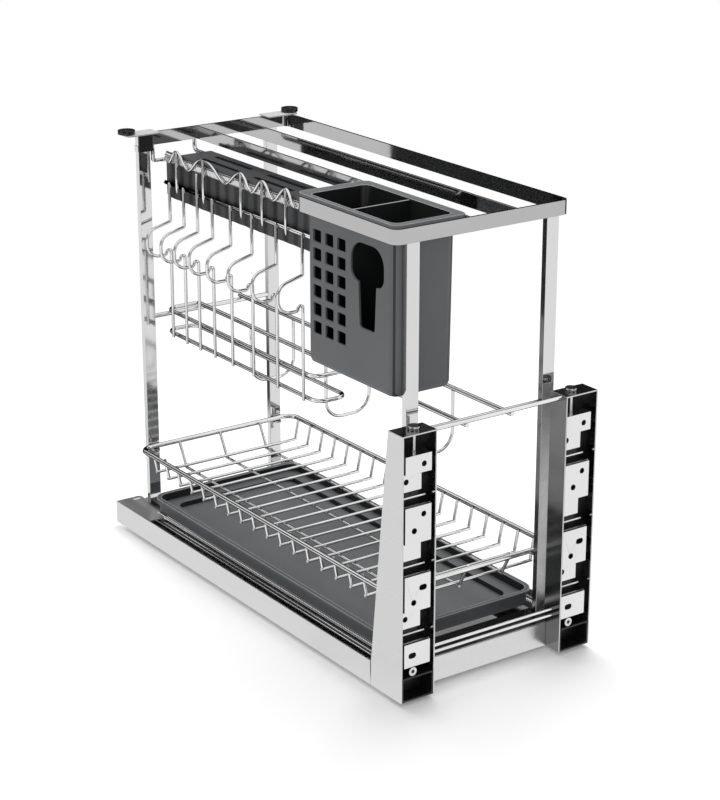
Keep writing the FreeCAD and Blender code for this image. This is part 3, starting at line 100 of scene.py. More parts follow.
# Depth of the grain of metal and of plastic, m
METAL_GRAIN, PLASTIC_GRAIN = 0.0002, 0.0001
# Turn below which a path counts as straight, radians
STRAIGHT = 1e-6
# Rounded end of a wire, in radii: how far each ring stands out and how wide it is
END_RINGS = ((0.6, 0.02), (0.35, 0.7))
# Front plane of the door plates, mm
PLATE_FRONT = -251.9
# Nodes that keep their own shading, because their bends are part of the solid
PLAIN_NODES = ("top_band", "basket_hooks")


# Settings

class RackFinish(bpy.types.PropertyGroup):
    """Colours and finishes of the rack's materials."""

    chrome_grey: FloatProperty(name="Chrome brightness", default=0.66, min=0, max=1)
    chrome_rough: FloatProperty(name="Chrome roughness", default=0.07, min=0, max=1)
    satin_grey: FloatProperty(name="Satin steel brightness", default=0.68, min=0, max=1)
    satin_rough: FloatProperty(name="Satin steel roughness", default=0.30, min=0, max=1)
    zinc_grey: FloatProperty(name="Zinc brightness", default=0.62, min=0, max=1)
    zinc_rough: FloatProperty(name="Zinc roughness", default=0.34, min=0, max=1)
    plastic: FloatVectorProperty(name="Grey plastic", subtype="COLOR",
                                 default=(0.0945, 0.0985, 0.104), min=0, max=1)
    plastic_rough: FloatProperty(name="Grey plastic roughness", default=0.42, min=0, max=1)
    dark: FloatVectorProperty(name="Dark plastic", subtype="COLOR",
                              default=(0.007, 0.0072, 0.0076), min=0, max=1)
    block: FloatVectorProperty(name="Knife block plastic", subtype="COLOR",
                               default=(0.030, 0.031, 0.033), min=0, max=1)
    # Painted light: the tray's floor lighter than its plastic, as lit from above
    tray_floor: FloatVectorProperty(name="Floor of the drip tray", subtype="COLOR",
                                    default=(0.115, 0.119, 0.124), min=0, max=1)
    # Painted shade on the inner walls of bin and tray
    inner: FloatVectorProperty(name="Inner walls of bin and tray", subtype="COLOR",
                               default=(0.010, 0.0105, 0.011), min=0, max=1)
    # Painted highlight on the rounded edges of grey plastic
    edge_light: FloatVectorProperty(name="Bright edges of grey plastic", subtype="COLOR",
                                    default=(0.32, 0.325, 0.33), min=0, max=1)
    satin: FloatVectorProperty(name="Satin plates", subtype="COLOR",
                               default=(0.43, 0.43, 0.435), min=0, max=1)
    wire_grey: FloatProperty(name="Wire brightness", default=0.80, min=0, max=1)
    # Painted dark reflection: brightness of chrome darkened where it mirrors dark things
    painted_reflection_grey: FloatProperty(name="Dark mirror brightness", default=0.17, min=0, max=1)
    shade: FloatVectorProperty(name="Deep shade", subtype="COLOR",
                               default=(0.004, 0.004, 0.0045), min=0, max=1)
    edge_width: FloatProperty(name="Rounded edges, mm", default=0.35, min=0.05, max=2)


class RackWires(bpy.types.PropertyGroup):
    """Sizes of the bent wires, in millimetres."""

    sides: IntProperty(name="Sides of a round wire", default=16, min=6, max=64)
    cage_wire: FloatProperty(name="Cage wire diameter", default=3.0, min=1, max=8)
    cage_side: FloatProperty(name="Cage wires from the middle", default=54.5, min=20, max=120)
    cage_top: FloatProperty(name="Top of the cage wires", default=364.0, min=100, max=500)
    cage_long_top: FloatProperty(name="Top of the long cage wire", default=383.0, min=100, max=500)
    cage_foot: FloatProperty(name="Foot of the cage wires", default=204.5, min=100, max=500)
    bow_top: FloatProperty(name="Level where the bow starts", default=325.0, min=100, max=500)
    bow_shoulder: FloatProperty(name="End of the upper slope", default=318.0, min=100, max=500)
    bow_foot: FloatProperty(name="Level where the bow comes back", default=291.5, min=100, max=500)
    bow_reach: FloatProperty(name="How far the bow stands out", default=27.0, min=5, max=60)
    curl: FloatProperty(name="Height of the curl below the bow", default=5.0, min=0, max=20)
    wave_wire: FloatProperty(name="Wave wire diameter", default=2.5, min=1, max=6)
    wave_side: FloatProperty(name="Wave wire from the middle", default=54.4, min=20, max=120)
    drop_foot: FloatProperty(name="Foot of the drop wires", default=356.5, min=100, max=500)
    drop_point: FloatProperty(name="Length of a drop wire's point", default=5.0, min=1, max=20)
    rod: FloatProperty(name="Rod diameter", default=4.0, min=1, max=8)
    rod_side: FloatProperty(name="Rods from the middle", default=51.0, min=20, max=120)
    rod_rear: FloatProperty(name="Rear end of the middle rod", default=226.0, min=100, max=300)
    rod_level: FloatProperty(name="Level of the middle rod", default=362.0, min=100, max=500)
    strip_low: FloatProperty(name="Foot of the hatched strip", default=383.0, min=100, max=500)
    strip_high: FloatProperty(name="Top of the hatched strip", default=392.5, min=100, max=500)
    hatch_pitch: FloatProperty(name="Hatching pitch of the strip", default=2.6, min=0.5, max=10)
    hatch_depth: FloatProperty(name="Hatching depth of the strip", default=0.3, min=0, max=2)


class RackTrim(bpy.types.PropertyGroup):
    """Sizes of the fine trim, in millimetres."""

    rib_pitch: FloatProperty(name="Ribs of the knife block, pitch", default=17.0, min=3, max=60)
    rib_depth: FloatProperty(name="Ribs of the knife block, depth", default=0.6, min=0, max=3)
    wall_rear: FloatProperty(name="Rear of the block's left wall", default=231.0, min=100, max=300)
    tooth_pitch: FloatProperty(name="Tray rail teeth, pitch", default=2.6, min=0.5, max=10)
    tooth_height: FloatProperty(name="Tray rail teeth, height", default=0.7, min=0, max=3)
    rim_line: FloatProperty(name="Rim lines of bin and tray, width", default=0.7, min=0.1, max=3)
    edge_wire: FloatProperty(name="Rolled runner edge, diameter", default=1.1, min=0.2, max=4)


class RackStage(bpy.types.PropertyGroup):
    """Camera, lamps and floor, of which one sector is dark in mirrors."""

    eye: FloatVectorProperty(name="Camera place, m", default=(-1.09752, -1.60558, 0.86613))
    azimuth: FloatProperty(name="Camera azimuth, degrees", default=-35.005)
    elevation: FloatProperty(name="Camera elevation, degrees", default=19.265)
    lens: FloatProperty(name="Lens, mm", default=97.118, min=10, max=400)
    floor_grey: FloatProperty(name="Floor brightness", default=0.95, min=0, max=1)
    floor_gap: FloatProperty(name="Floor below the base, mm", default=3.0, min=0, max=20)
    glow_near: FloatProperty(name="White of the floor by the rack", default=0.15, min=0, max=1)
    glow_start: FloatProperty(name="Floor starts to whiten at, m", default=0.28, min=0, max=5)
    glow_end: FloatProperty(name="Floor is white from, m", default=1.0, min=0.1, max=9)
    dark_start: FloatProperty(name="Dark sector start, degrees", default=-20, min=-180, max=180)
    dark_end: FloatProperty(name="Dark sector end, degrees", default=112, min=-180, max=180)
    dark_radius: FloatProperty(name="Dark sector from, m", default=0.42, min=0, max=5)
    ambient: FloatProperty(name="World strength on surfaces", default=0.45, min=0, max=2)
    key_power: FloatProperty(name="Key lamp power, W", default=70.0, min=0, max=1000)
    fill_power: FloatProperty(name="Fill lamp power, W", default=16.0, min=0, max=1000)
    flag_radius: FloatProperty(name="Distance of the dark screens, m", default=3.2, min=1, max=10)
    flag_low: FloatProperty(name="Foot of the dark screens, m", default=0.12, min=-1, max=3)
    flag_high: FloatProperty(name="Top of the dark screens, m", default=1.9, min=0, max=6)


# Node materials

def new_material(name):
    """A node material, new or emptied, with its output and a Principled shader."""
    material = bpy.data.materials.get(name) or bpy.data.materials.new(name)
    material.use_nodes = True
    tree = material.node_tree
    tree.nodes.clear()
    output = tree.nodes.new("ShaderNodeOutputMaterial")
    shader = tree.nodes.new("ShaderNodeBsdfPrincipled")
    tree.links.new(shader.outputs["BSDF"], output.inputs["Surface"])
    return material, tree, shader


def noise(tree, scale, detail=3.0, stretch=(1, 1, 1)):
    """Noise over object coordinates; stretch multiplies the coordinates axis by axis."""
    coordinates = tree.nodes.new("ShaderNodeTexCoord")
    mapping = tree.nodes.new("ShaderNodeMapping")
    mapping.inputs["Scale"].default_value = stretch
    texture = tree.nodes.new("ShaderNodeTexNoise")
    texture.inputs["Scale"].default_value = scale
    texture.inputs["Detail"].default_value = detail
    tree.links.new(coordinates.outputs["Object"], mapping.inputs["Vector"])
    tree.links.new(mapping.outputs["Vector"], texture.inputs["Vector"])
    return texture.outputs["Fac"]


def mapped(tree, value, low, high):
    """The value's usual range carried over to low to high."""
    ranged = tree.nodes.new("ShaderNodeMapRange")
    ranged.inputs["From Min"].default_value = NOISE_LOW
    ranged.inputs["From Max"].default_value = NOISE_HIGH
    ranged.inputs["To Min"].default_value = low
    ranged.inputs["To Max"].default_value = high
    tree.links.new(value, ranged.inputs["Value"])
    return ranged.outputs["Result"]


def shaded(tree, value, dark, light):
    """A colour between dark and light that follows the value over its usual range."""
    ramp = tree.nodes.new("ShaderNodeValToRGB")
    low, high = ramp.color_ramp.elements
    low.position, low.color = NOISE_LOW, (*dark, 1)
    high.position, high.color = NOISE_HIGH, (*light, 1)
    tree.links.new(value, ramp.inputs["Fac"])
    return ramp.outputs["Color"]


def bumped(tree, shader, value, strength, distance):
    """A bump from the value on the shader's normal; distance in metres."""
    bump = tree.nodes.new("ShaderNodeBump")
    bump.inputs["Strength"].default_value = strength
    bump.inputs["Distance"].default_value = distance
    tree.links.new(value, bump.inputs["Height"])
    tree.links.new(bump.outputs["Normal"], shader.inputs["Normal"])


def maths(tree, operation, *values):
    """The output of one math node; a value is a socket or a plain number."""
    node = tree.nodes.new("ShaderNodeMath")
    node.operation = operation
    for place, value in enumerate(values):
        if isinstance(value, (int, float)):
            node.inputs[place].default_value = value
        else:
            tree.links.new(value, node.inputs[place])
    return node.outputs[0]


def coordinate(tree, axis):
    """One of the object coordinates, in metres."""
    coordinates = tree.nodes.new("ShaderNodeTexCoord")
    split = tree.nodes.new("ShaderNodeSeparateXYZ")
    tree.links.new(coordinates.outputs["Object"], split.inputs[0])
    return split.outputs[axis]


def ramped(tree, value, start, end):
    """0 where the value is at the start, 1 at the end, smooth between them."""
    ranged = tree.nodes.new("ShaderNodeMapRange")
    ranged.interpolation_type = "SMOOTHSTEP"
    ranged.inputs["From Min"].default_value = min(start, end)
    ranged.inputs["From Max"].default_value = max(start, end)
    tree.links.new(value, ranged.inputs["Value"])
    if start < end:
        return ranged.outputs["Result"]
    return maths(tree, "SUBTRACT", 1.0, ranged.outputs["Result"])


def seen_directly(tree):
    """1 for camera, mirror and glass rays, 0 for the light on surfaces."""
    rays = tree.nodes.new("ShaderNodeLightPath").outputs
    most = maths(tree, "MAXIMUM", rays["Is Camera Ray"], rays["Is Glossy Ray"])
    return maths(tree, "MAXIMUM", most, rays["Is Transmission Ray"])


def metal(name, grey, rough, spread, scale, stretch=(1, 1, 1), bump=0.0, painted_edge_shade=0.0):
    """Metal whose brightness and roughness drift with a noise of the given scale and stretch.

    The painted edge shade is how much the colour darkens as a surface turns away from the view:
    painted shade that gives round wires dark sides.
    """
    material, tree, shader = new_material(name)
    shader.inputs["Metallic"].default_value = 1.0
    drift = noise(tree, scale, 4.0, stretch)
    dark = (grey * (1 - spread),) * 3
    light = (min(1.0, grey * (1 + spread)),) * 3
    colour = shaded(tree, drift, dark, light)
    # Painted shade: the colour and the specular tint darken as the surface turns away from the view
    if painted_edge_shade:
        facing = tree.nodes.new("ShaderNodeLayerWeight").outputs["Facing"]
        turned = maths(tree, "MULTIPLY", ramped(tree, facing, EDGE_SHADE_START, EDGE_SHADE_END), painted_edge_shade)
        tint = tree.nodes.new("ShaderNodeVectorMath")
        tint.operation = "SCALE"
        tree.links.new(colour, tint.inputs[0])
        tree.links.new(maths(tree, "SUBTRACT", 1.0, turned), tint.inputs["Scale"])
        colour = tint.outputs[0]
        shader.inputs["Specular Tint"].default_value = (1 - painted_edge_shade, 1 - painted_edge_shade, 1 - painted_edge_shade, 1)
    tree.links.new(colour, shader.inputs["Base Color"])
    tree.links.new(mapped(tree, drift, rough * 0.8, rough * 1.25), shader.inputs["Roughness"])
    if bump:
        bumped(tree, shader, drift, bump, METAL_GRAIN)
    return material


def plastic(name, colour, rough, grain, bump, ribs=0.0):
    """Moulded plastic with a fine grain and a slow drift of colour, or with the painted light and
    shade of upright ribs.

    Ribs is their pitch along the rack, in millimetres. The painted tone is half plus a third of
    the sine of 2 pi times the place over the pitch.
    """
    material, tree, shader = new_material(name)
    # Painted light and shade of the ribs: darker and lighter stripes along the rack
    if ribs:
        phase = maths(tree, "MULTIPLY", coordinate(tree, "Y"), 2 * math.pi / (ribs * MM))
        tone = maths(tree, "MULTIPLY_ADD", maths(tree, "SINE", phase), 0.34, 0.5)
        darker, lighter = 0.25, 1.6
    else:
        tone = noise(tree, 9.0)
        darker, lighter = 0.93, 1.07
    dark = tuple(c * darker for c in colour)
    light = tuple(min(1.0, c * lighter) for c in colour)
    tree.links.new(shaded(tree, tone, dark, light), shader.inputs["Base Color"])
    fine = noise(tree, grain, 2.0)
    tree.links.new(mapped(tree, fine, rough * 0.88, rough * 1.12), shader.inputs["Roughness"])
    bumped(tree, shader, fine, bump, PLASTIC_GRAIN)
    return material


def finishes():
    """The rack's materials: those of the record's slots, and those of single nodes and faces."""
    look = bpy.context.scene.rack_finish
    chrome, rough = look.chrome_grey, look.chrome_rough
    zinc, zinc_rough = look.zinc_grey, look.zinc_rough
    evenly = (1, 1, 1)
    metals = {
        "chrome_posts": (chrome * 1.04, rough, 0.03, 14.0, (1, 1, 0.12)),
        "chrome_bands": (chrome * 0.72, rough, 0.03, 18.0, (1, 0.1, 1)),
        # Chrome wire and screw steel: the last number is their painted edge shade, dark sides
        # painted on round wires
        "chrome_wire": (look.wire_grey, rough * 1.6, 0.06, 60.0, evenly, 0.0, 0.85),
        "chrome_plate": (chrome * 1.18, rough * 2.6, 0.03, 30.0),
        "rail_steel": (zinc, zinc_rough, 0.07, 40.0, (1, 0.05, 1)),
        "base_steel": (look.satin_grey, look.satin_rough, 0.03, 90.0, (1, 0.04, 1), 0.05),
        "screw_steel": (zinc * 1.1, zinc_rough * 0.7, 0.08, 120.0, evenly, 0.0, 0.8),
        "channel_wall": (chrome, 0.12, 0.03, 24.0),
        # Painted dark reflection for chrome faces that mirror dark surroundings
        "dark_mirror": (look.painted_reflection_grey, 0.16, 0.2, 24.0, (1, 0.1, 1)),
    }
    plastics = {
        "grey_plastic": (look.plastic, look.plastic_rough, 900.0, 0.12),
        "dark_plastic": (look.dark, 0.38, 700.0, 0.10),
        "roller_plastic": (look.dark, 0.22, 500.0, 0.04),
        "block_plastic": (look.block, 0.34, 700.0, 0.06),
        # Painted light and shade of the knife block's ribs
        "rib_plastic": (look.block, 0.5, 700.0, 0.0, bpy.context.scene.rack_trim.rib_pitch),
        # Painted light on the tray's floor
        "tray_floor": (look.tray_floor, 0.38, 900.0, 0.10),
        "inner_shade": (look.inner, 0.42, 700.0, 0.06),
        "edge_light": (look.edge_light, 0.3, 300.0, 0.02),
        "satin_plate": (look.satin, 0.36, 500.0, 0.03),
        "deep_shade": (look.shade, 0.5, 300.0, 0.02),
    }
    return {**{name: metal(name, *settings) for name, settings in metals.items()},
            **{name: plastic(name, *settings) for name, settings in plastics.items()}}


def finish(name):
    """The material of that name; all of them are made once, over the frame's plain ones."""
    if not MADE:
        MADE.update(finishes())
    return MADE[name]


# Surfaces

def grid_faces(rows, columns, wrapped):
    """Quads over a grid of points, rows by columns; wrapped joins its last column to its first."""
    row, column = np.meshgrid(np.arange(rows - 1), np.arange(columns if wrapped else columns - 1),
                              indexing="ij")
    beside = (column + 1) % columns
    quads = np.stack([row * columns + column, row * columns + beside,
                      (row + 1) * columns + beside, (row + 1) * columns + column], axis=-1)
    return quads.reshape(-1, 4)


def tube_faces(rings, sides):
    """Quads round a run of rings, and one flat face over each end."""
    return [*grid_faces(rings, sides, True), np.arange(sides)[::-1],
            np.arange(sides) + (rings - 1) * sides]


def lengthwise(rows, across, up):
    """Points and faces of a bar along the rack, from places along it in millimetres.

    Each row has a ring of points, given by the rows of across and up.
    """
    along = np.broadcast_to(rows[:, None], across.shape)
    points = np.stack([across, along, up], axis=2).reshape(-1, 3) * MM
    return points, tube_faces(*across.shape)


def new_mesh(name, points, faces):
    """A mesh from points in metres and a list of faces."""
    mesh = bpy.data.meshes.new(name)
    mesh.from_pydata(np.asarray(points, float).tolist(), [], [list(map(int, f)) for f in faces])
    return mesh


def new_object(name, data):
    """An object of the scene with this mesh, camera or lamp."""
    item = bpy.data.objects.new(name, data)
    bpy.context.scene.collection.objects.link(item)
    return item


def piece(name, points, faces, slot, body, replaced=(), smooth=True, look=None):
    """A mesh object from points in metres and a list of faces, on its body."""
    mesh = new_mesh(name, points, faces)
    mesh.validate()
    mesh.polygons.foreach_set("use_smooth", np.full(len(mesh.polygons), smooth))
    mesh.materials.append(finish(look or slot))
    item = new_object(name, mesh)
    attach(item, body)
    if replaced:
        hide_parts(*replaced)
    return item


def rounded_path(corners, steps=8):
    """Points along a run of straight lines whose corners (across, up, radius) are rounded.

    At a corner that turns by t, the arc starts radius * tan(t / 2) before it.
    """
    corners = [(*c, 0.0)[:3] for c in corners]
    path = [np.array(corners[0][:2])]
    for before, corner, after in zip(corners, corners[1:], corners[2:]):
        at = np.array(corner[:2])
        come = at - np.array(before[:2])
        go = np.array(after[:2]) - at
        come = come / np.linalg.norm(come)
        go = go / np.linalg.norm(go)
        turn = math.acos(float(np.clip(come @ go, -1, 1)))
        side = np.sign(come[0] * go[1] - come[1] * go[0])
        if turn < STRAIGHT or corner[2] <= 0:
            path.append(at)
            continue
        start = at - come * corner[2] * math.tan(turn / 2)
        centre = start + side * corner[2] * np.array([-come[1], come[0]])
        angle = np.linspace(0, side * turn, steps)
        arm = start - centre
        path.extend(np.stack([centre[0] + arm[0] * np.cos(angle) - arm[1] * np.sin(angle),
                              centre[1] + arm[0] * np.sin(angle) + arm[1] * np.cos(angle)], axis=1))
    path.append(np.array(corners[-1][:2]))
    return np.array(path)


def swept(path, radius, sides):
    """Points and faces of a round wire along a flat path of (across, up) points.

    A ring's point at angle a is the path point plus radius times (cos a along the plane's
    normal, sin a along the path's own normal, lengthened at a mitred corner by 1 / cos of half
    the turn). The radius is one number or one for each point. The ends close in a dome of two
    rings. Coordinates are (across, up, sideways).
    """
    step = np.diff(path, axis=0, append=path[-1:] * 2 - path[-2:-1])
    step = step / np.linalg.norm(step, axis=1, keepdims=True)
    back = np.roll(step, 1, axis=0)
    back[0] = step[0]
    along = step + back
    along = along / np.linalg.norm(along, axis=1, keepdims=True)
    stretch = 1 / np.clip(np.sum(along * step, axis=1), 0.3, 1)
    radius = np.broadcast_to(radius, len(path))
    out, wide = np.array(END_RINGS).T
    path = np.vstack([path[0] - along[0] * radius[0] * out[:, None], path,
                      path[-1] + along[-1] * radius[-1] * out[::-1, None]])
    along = np.vstack([along[:1], along[:1], along, along[-1:], along[-1:]])
    stretch = np.concatenate([[1, 1], stretch, [1, 1]])
    radius = np.concatenate([radius[0] * wide, radius, radius[-1] * wide[::-1]])
    angle = np.linspace(0, 2 * math.pi, sides, endpoint=False)
    across = np.stack([-along[:, 1], along[:, 0]], axis=1) * stretch[:, None]
    rings = path[:, None, :] + (radius[:, None] * np.sin(angle))[:, :, None] * across[:, None, :]
    side = radius[:, None] * np.cos(angle) * np.ones((len(path), 1))
    points = np.concatenate([rings, side[:, :, None]], axis=2).reshape(-1, 3)
    return points, tube_faces(len(path), sides)


def placed(points, plane, offset):
    """Plane points (across, up, sideways) in millimetres as places in metres."""
    across, up, side = points.T
    order = {"top": (across, up, side + offset), "front": (across, side + offset, up),
             "side": (side + offset, across, up)}[plane]
    return np.stack(order, axis=1) * MM


def wire(path, diameter, sides, plane, offset):
    """A swept wire, placed at its offset from the plane through the origin."""
    points, faces = swept(path, diameter / 2, sides)
    return placed(points, plane, offset), faces


def joined(parts):
    """One set of points and faces from several."""
    points, faces, start = [], [], 0
    for some, quads in parts:
        points.append(some)
        faces += [np.asarray(q) + start for q in quads]
        start += len(some)
    return np.vstack(points), faces


def paint(name, look, chosen):
    """Puts a finish of painted light and shade on the faces of a node that a rule on their middles
    and directions picks.
    """
    mesh = frame["nodes"][name].data
    at = np.empty(len(mesh.polygons) * 3)
    way = at.copy()
    mesh.polygons.foreach_get("center", at)
    mesh.polygons.foreach_get("normal", way)
    matrix = np.array(frame["nodes"][name].matrix_world)
    at = at.reshape(-1, 3) @ matrix[:3, :3].T + matrix[:3, 3]
    index = np.empty(len(mesh.polygons), dtype=np.int32)
    mesh.polygons.foreach_get("material_index", index)
    mesh.materials.append(finish(look))
    index[chosen(at / MM, way.reshape(-1, 3))] = len(mesh.materials) - 1
    mesh.polygons.foreach_set("material_index", index)


def within(at, box):
    """Which middles lie inside a box between two opposite corners, in millimetres."""
    return np.all((at > box[0]) & (at < box[1]), axis=1)


def recess(at):
    """Which middles lie in a door plate's deep steps."""
    return np.any([within(at, ((-math.inf, STEP_FRONT, low), (math.inf, STEP_REAR, high)))
                   for low, high in STEPS], axis=0)


def slab(low, high):
    """Points in metres and faces of a box between two opposite corners in millimetres."""
    low, high = np.minimum(low, high), np.maximum(low, high)
    pick = np.array([[0, 0, 0], [1, 0, 0], [1, 1, 0], [0, 1, 0],
                     [0, 0, 1], [1, 0, 1], [1, 1, 1], [0, 1, 1]])
    faces = [[0, 3, 2, 1], [4, 5, 6, 7], [0, 1, 5, 4], [1, 2, 6, 5], [2, 3, 7, 6], [3, 0, 4, 7]]
    return np.where(pick, high, low) * MM, [np.array(face) for face in faces]


def revolved(profile, centre, sides):
    """A profile of (radius, along) points in millimetres turned round the Y line through centre."""
    profile = np.asarray(profile, float)
    angle = np.linspace(0, 2 * math.pi, sides, endpoint=False)
    radius, along = profile[:, 0][:, None], profile[:, 1][:, None] * np.ones(sides)
    first, second = radius * np.cos(angle), radius * np.sin(angle)
    points = np.stack((second, along, first), axis=2).reshape(-1, 3) + np.asarray(centre, float)
    return points * MM, tube_faces(len(profile), sides)


# Operators

class RACK_OT_skins(bpy.types.Operator):
    """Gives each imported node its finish, and rounds the edges of sheet metal and plastic."""

    bl_idname = "rack.skins"
    bl_label = "Finish the packed nodes"

    def execute(self, context):
        edge = context.scene.rack_finish.edge_width * MM
        slots = {part["node"]: part["material_slot"] for part in frame["record"]["subparts"]}
        for name, node in frame["nodes"].items():
            node.data.materials.clear()
            node.data.materials.append(finish(OTHER_FINISH.get(name, slots[name])))
            if "wire" in slots[name] or name in PLAIN_NODES:
                continue
            weld = node.modifiers.new("weld", "WELD")
            weld.merge_threshold = 0.01 * MM
            bevel = node.modifiers.new("edges", "BEVEL")
            bevel.width = edge
            bevel.segments = 2
            bevel.limit_method = "ANGLE"
            bevel.angle_limit = math.radians(40)
            bevel.harden_normals = True
        return {"FINISHED"}


class RACK_OT_face_paint(bpy.types.Operator):
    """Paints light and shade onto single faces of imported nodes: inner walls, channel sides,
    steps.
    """

    bl_idname = "rack.face_paint"
    bl_label = "Finish of single faces"

    def execute(self, context):
        channel_side, below_rim, below_top = 71, 36, 227
        # Painted dark reflection on the left faces of the right door bracket and of the right front
        # post
        paint("door_bracket_right", "dark_mirror",
              lambda at, way: (way[:, 0] < -FACING) & (at[:, 0] < channel_side))
        paint("post_front_right", "dark_mirror", lambda at, way: way[:, 0] < -FACING)
        # Painted shade inside the bin and on the partition's sides, a painted highlight on its top
        paint("utensil_bin", "inner_shade", lambda at, way: within(at, BIN_INSIDE))
        paint("bin_partition", "inner_shade", lambda at, way: way[:, 2] < FACING)
        paint("bin_partition", "edge_light", lambda at, way: way[:, 2] > FACING)
        # Painted shade on the tray's inner walls, painted light on its floor
        paint("drip_tray", "inner_shade",
              lambda at, way: within(at, TRAY_INSIDE) & (np.abs(way[:, 2]) < FACING))
        paint("drip_tray", "tray_floor",
              lambda at, way: (way[:, 2] > FACING) & (at[:, 2] < below_rim))
        # Painted shade on the plates' upward steps and in their deep recesses
        for side in ("left", "right"):
            paint("door_plate_" + side, "deep_shade",
                  lambda at, way: (way[:, 2] > FACING) & (at[:, 2] < below_top)
                  | (np.abs(way[:, 2]) < 1 - FACING) & recess(at))
        return {"FINISHED"}


class RACK_OT_rim_lines(bpy.types.Operator):
    """Draws painted highlights along the rounded edges of the bin and the drip tray."""

    bl_idname = "rack.rim_lines"
    bl_label = "Rim lines of bin and tray"

    def execute(self, context):
        for name, body, level, boxes in RIMS:
            parts = []
            for left, right, front, rear, corner in boxes:
                middle = (left + right) / 2
                path = rounded_path([(middle, front), (right, front, corner), (right, rear, corner),
                                     (left, rear, corner), (left, front, corner),
                                     (middle - 1, front)], 10)
                parts.append(wire(path, context.scene.rack_trim.rim_line, 8, "top", level))
            piece(name, *joined(parts), "grey_plastic", body, look="edge_light")
        return {"FINISHED"}


class RACK_OT_cage_wires(bpy.types.Operator):
    """Bends the knife cage's wires: a straight run, a bow outwards with a round crown, and back."""

    bl_idname = "rack.cage_wires"
    bl_label = "Knife cage wires"

    def execute(self, context):
        size = context.scene.rack_wires
        out = -size.cage_side
        crown = out - size.bow_reach
        foot = size.bow_foot
        parts = []
        for number, place in enumerate(CAGE_PLACES):
            top = size.cage_long_top if number == LONG_WIRE else size.cage_top
            profile = rounded_path([
                (out, top), (out, size.bow_top, 1.6), (crown, size.bow_shoulder, 12.0),
                (crown, foot, 13.0), (out - 6, foot, 2.5), (out - 4, foot + size.curl, 2.0),
                (out, foot + size.curl * 0.8, 2.0), (out, size.cage_foot)], 12)
            parts.append(wire(profile, size.cage_wire, size.sides, "front", place))
        piece("cage_wire_set", *joined(parts), "chrome_wire", "carriage", ["cage_wires"])
        return {"FINISHED"}


class RACK_OT_wave(bpy.types.Operator):
    """Bends the wave wire, and hangs drop wires with pointed feet under it.

    The height above a trough, as a share of the whole, is half of 1 minus the cosine of pi times
    the share of the way to the crest, to the power of the fullness: crests are the rounder ones.
    """

    bl_idname = "rack.wave"
    bl_label = "Wave wire and drop wires"

    def execute(self, context):
        size = context.scene.rack_wires
        turns = np.array(WAVE, float)
        fullness, least_step = 0.85, 1e-4
        along = np.linspace(0, len(turns) - 1, 24 * len(turns))
        step = np.minimum(along.astype(int), len(turns) - 2)
        share = along - step
        ease = 0.5 - 0.5 * np.cos(math.pi * share)
        rising = turns[step + 1, 1] >= turns[step, 1]
        ease = np.where(rising, ease ** fullness, 1 - (1 - ease) ** fullness)
        place = turns[step, 0] + (turns[step + 1, 0] - turns[step, 0]) * share
        level = turns[step, 1] + (turns[step + 1, 1] - turns[step, 1]) * ease
        path = np.stack([place, level], axis=1)
        path = path[np.append(True, np.linalg.norm(np.diff(path, axis=0), axis=1) > least_step)]
        piece("wave_wire_bent", *wire(path, size.wave_wire, size.sides, "side", -size.wave_side),
              "chrome_wire", "carriage", ["wave_wire"])
        parts = []
        tip = size.drop_foot + size.drop_point
        widths = size.cage_wire * np.array([0.2, 0.45, 1, 1, 1])
        for place in DROPS:
            top = float(np.interp(-place, -path[:, 0], path[:, 1]))
            levels = np.array([size.drop_foot, size.drop_foot + 0.4, tip, tip + 1, top])
            line = np.stack([np.full(len(levels), float(place)), levels], axis=1)
            parts.append(wire(line, widths, size.sides, "side", -size.cage_side))
        piece("drop_wire_set", *joined(parts), "chrome_wire", "carriage", ["drop_wires"])
        return {"FINISHED"}


class RACK_OT_rods(bpy.types.Operator):
    """Lays the hatched strip beside the knife block with its bent rear end, and the middle rod.

    The strip's side bulges by the square root of 1 minus the fourth power of the height's share
    from the middle. Its slanting hatches are a cosine along it that fades towards both edges.
    """

    bl_idname = "rack.rods"
    bl_label = "Hatched strip and middle rod"

    def execute(self, context):
        size = context.scene.rack_wires
        side, low, high = -size.rod_side, size.strip_low, size.strip_high
        front, rear = -84.0, size.rod_rear - 2
        half, chamfer = 1.5, 0.3
        rows = np.linspace(front, rear, 1100)
        share = np.linspace(0, 1, 8)
        level = low + (high - low) * share
        bulge = half * np.sqrt(np.clip(1 - (2 * share - 1) ** 4, 0, 1))
        phase = 2 * math.pi * (rows[:, None] + 0.5 * (level - low)) / size.hatch_pitch
        outer = side - bulge - size.hatch_depth * np.sin(math.pi * share) * np.cos(phase)
        inner = np.full((len(rows), 2), side + half)
        up = np.tile([*level, high - chamfer, low + chamfer], (len(rows), 1))
        bend_level, bend_place = low + 2.2, rear + 3
        bend = rounded_path([(side, rear - 6), (side, bend_place, 2.5), (side - 11, bend_place)])
        rise = rounded_path([(side - 10.5, bend_level), (side - 13, low + 3, 1.5),
                             (side - 13.5, 401)], 6)
        parts = [lengthwise(rows, np.concatenate([outer, inner], axis=1), up),
                 wire(bend, size.rod, size.sides, "top", bend_level),
                 wire(rise, size.rod, size.sides, "front", bend_place)]
        piece("hatched_strip", *joined(parts), "chrome_wire", "carriage", ["knife_rod_upper"],
              look="chrome_posts")
        line = np.array([[side, front], [side, size.rod_rear]])
        piece("middle_rod", *wire(line, size.rod, size.sides, "top", size.rod_level),
              "chrome_wire", "carriage", ["knife_rod_middle"])
        return {"FINISHED"}


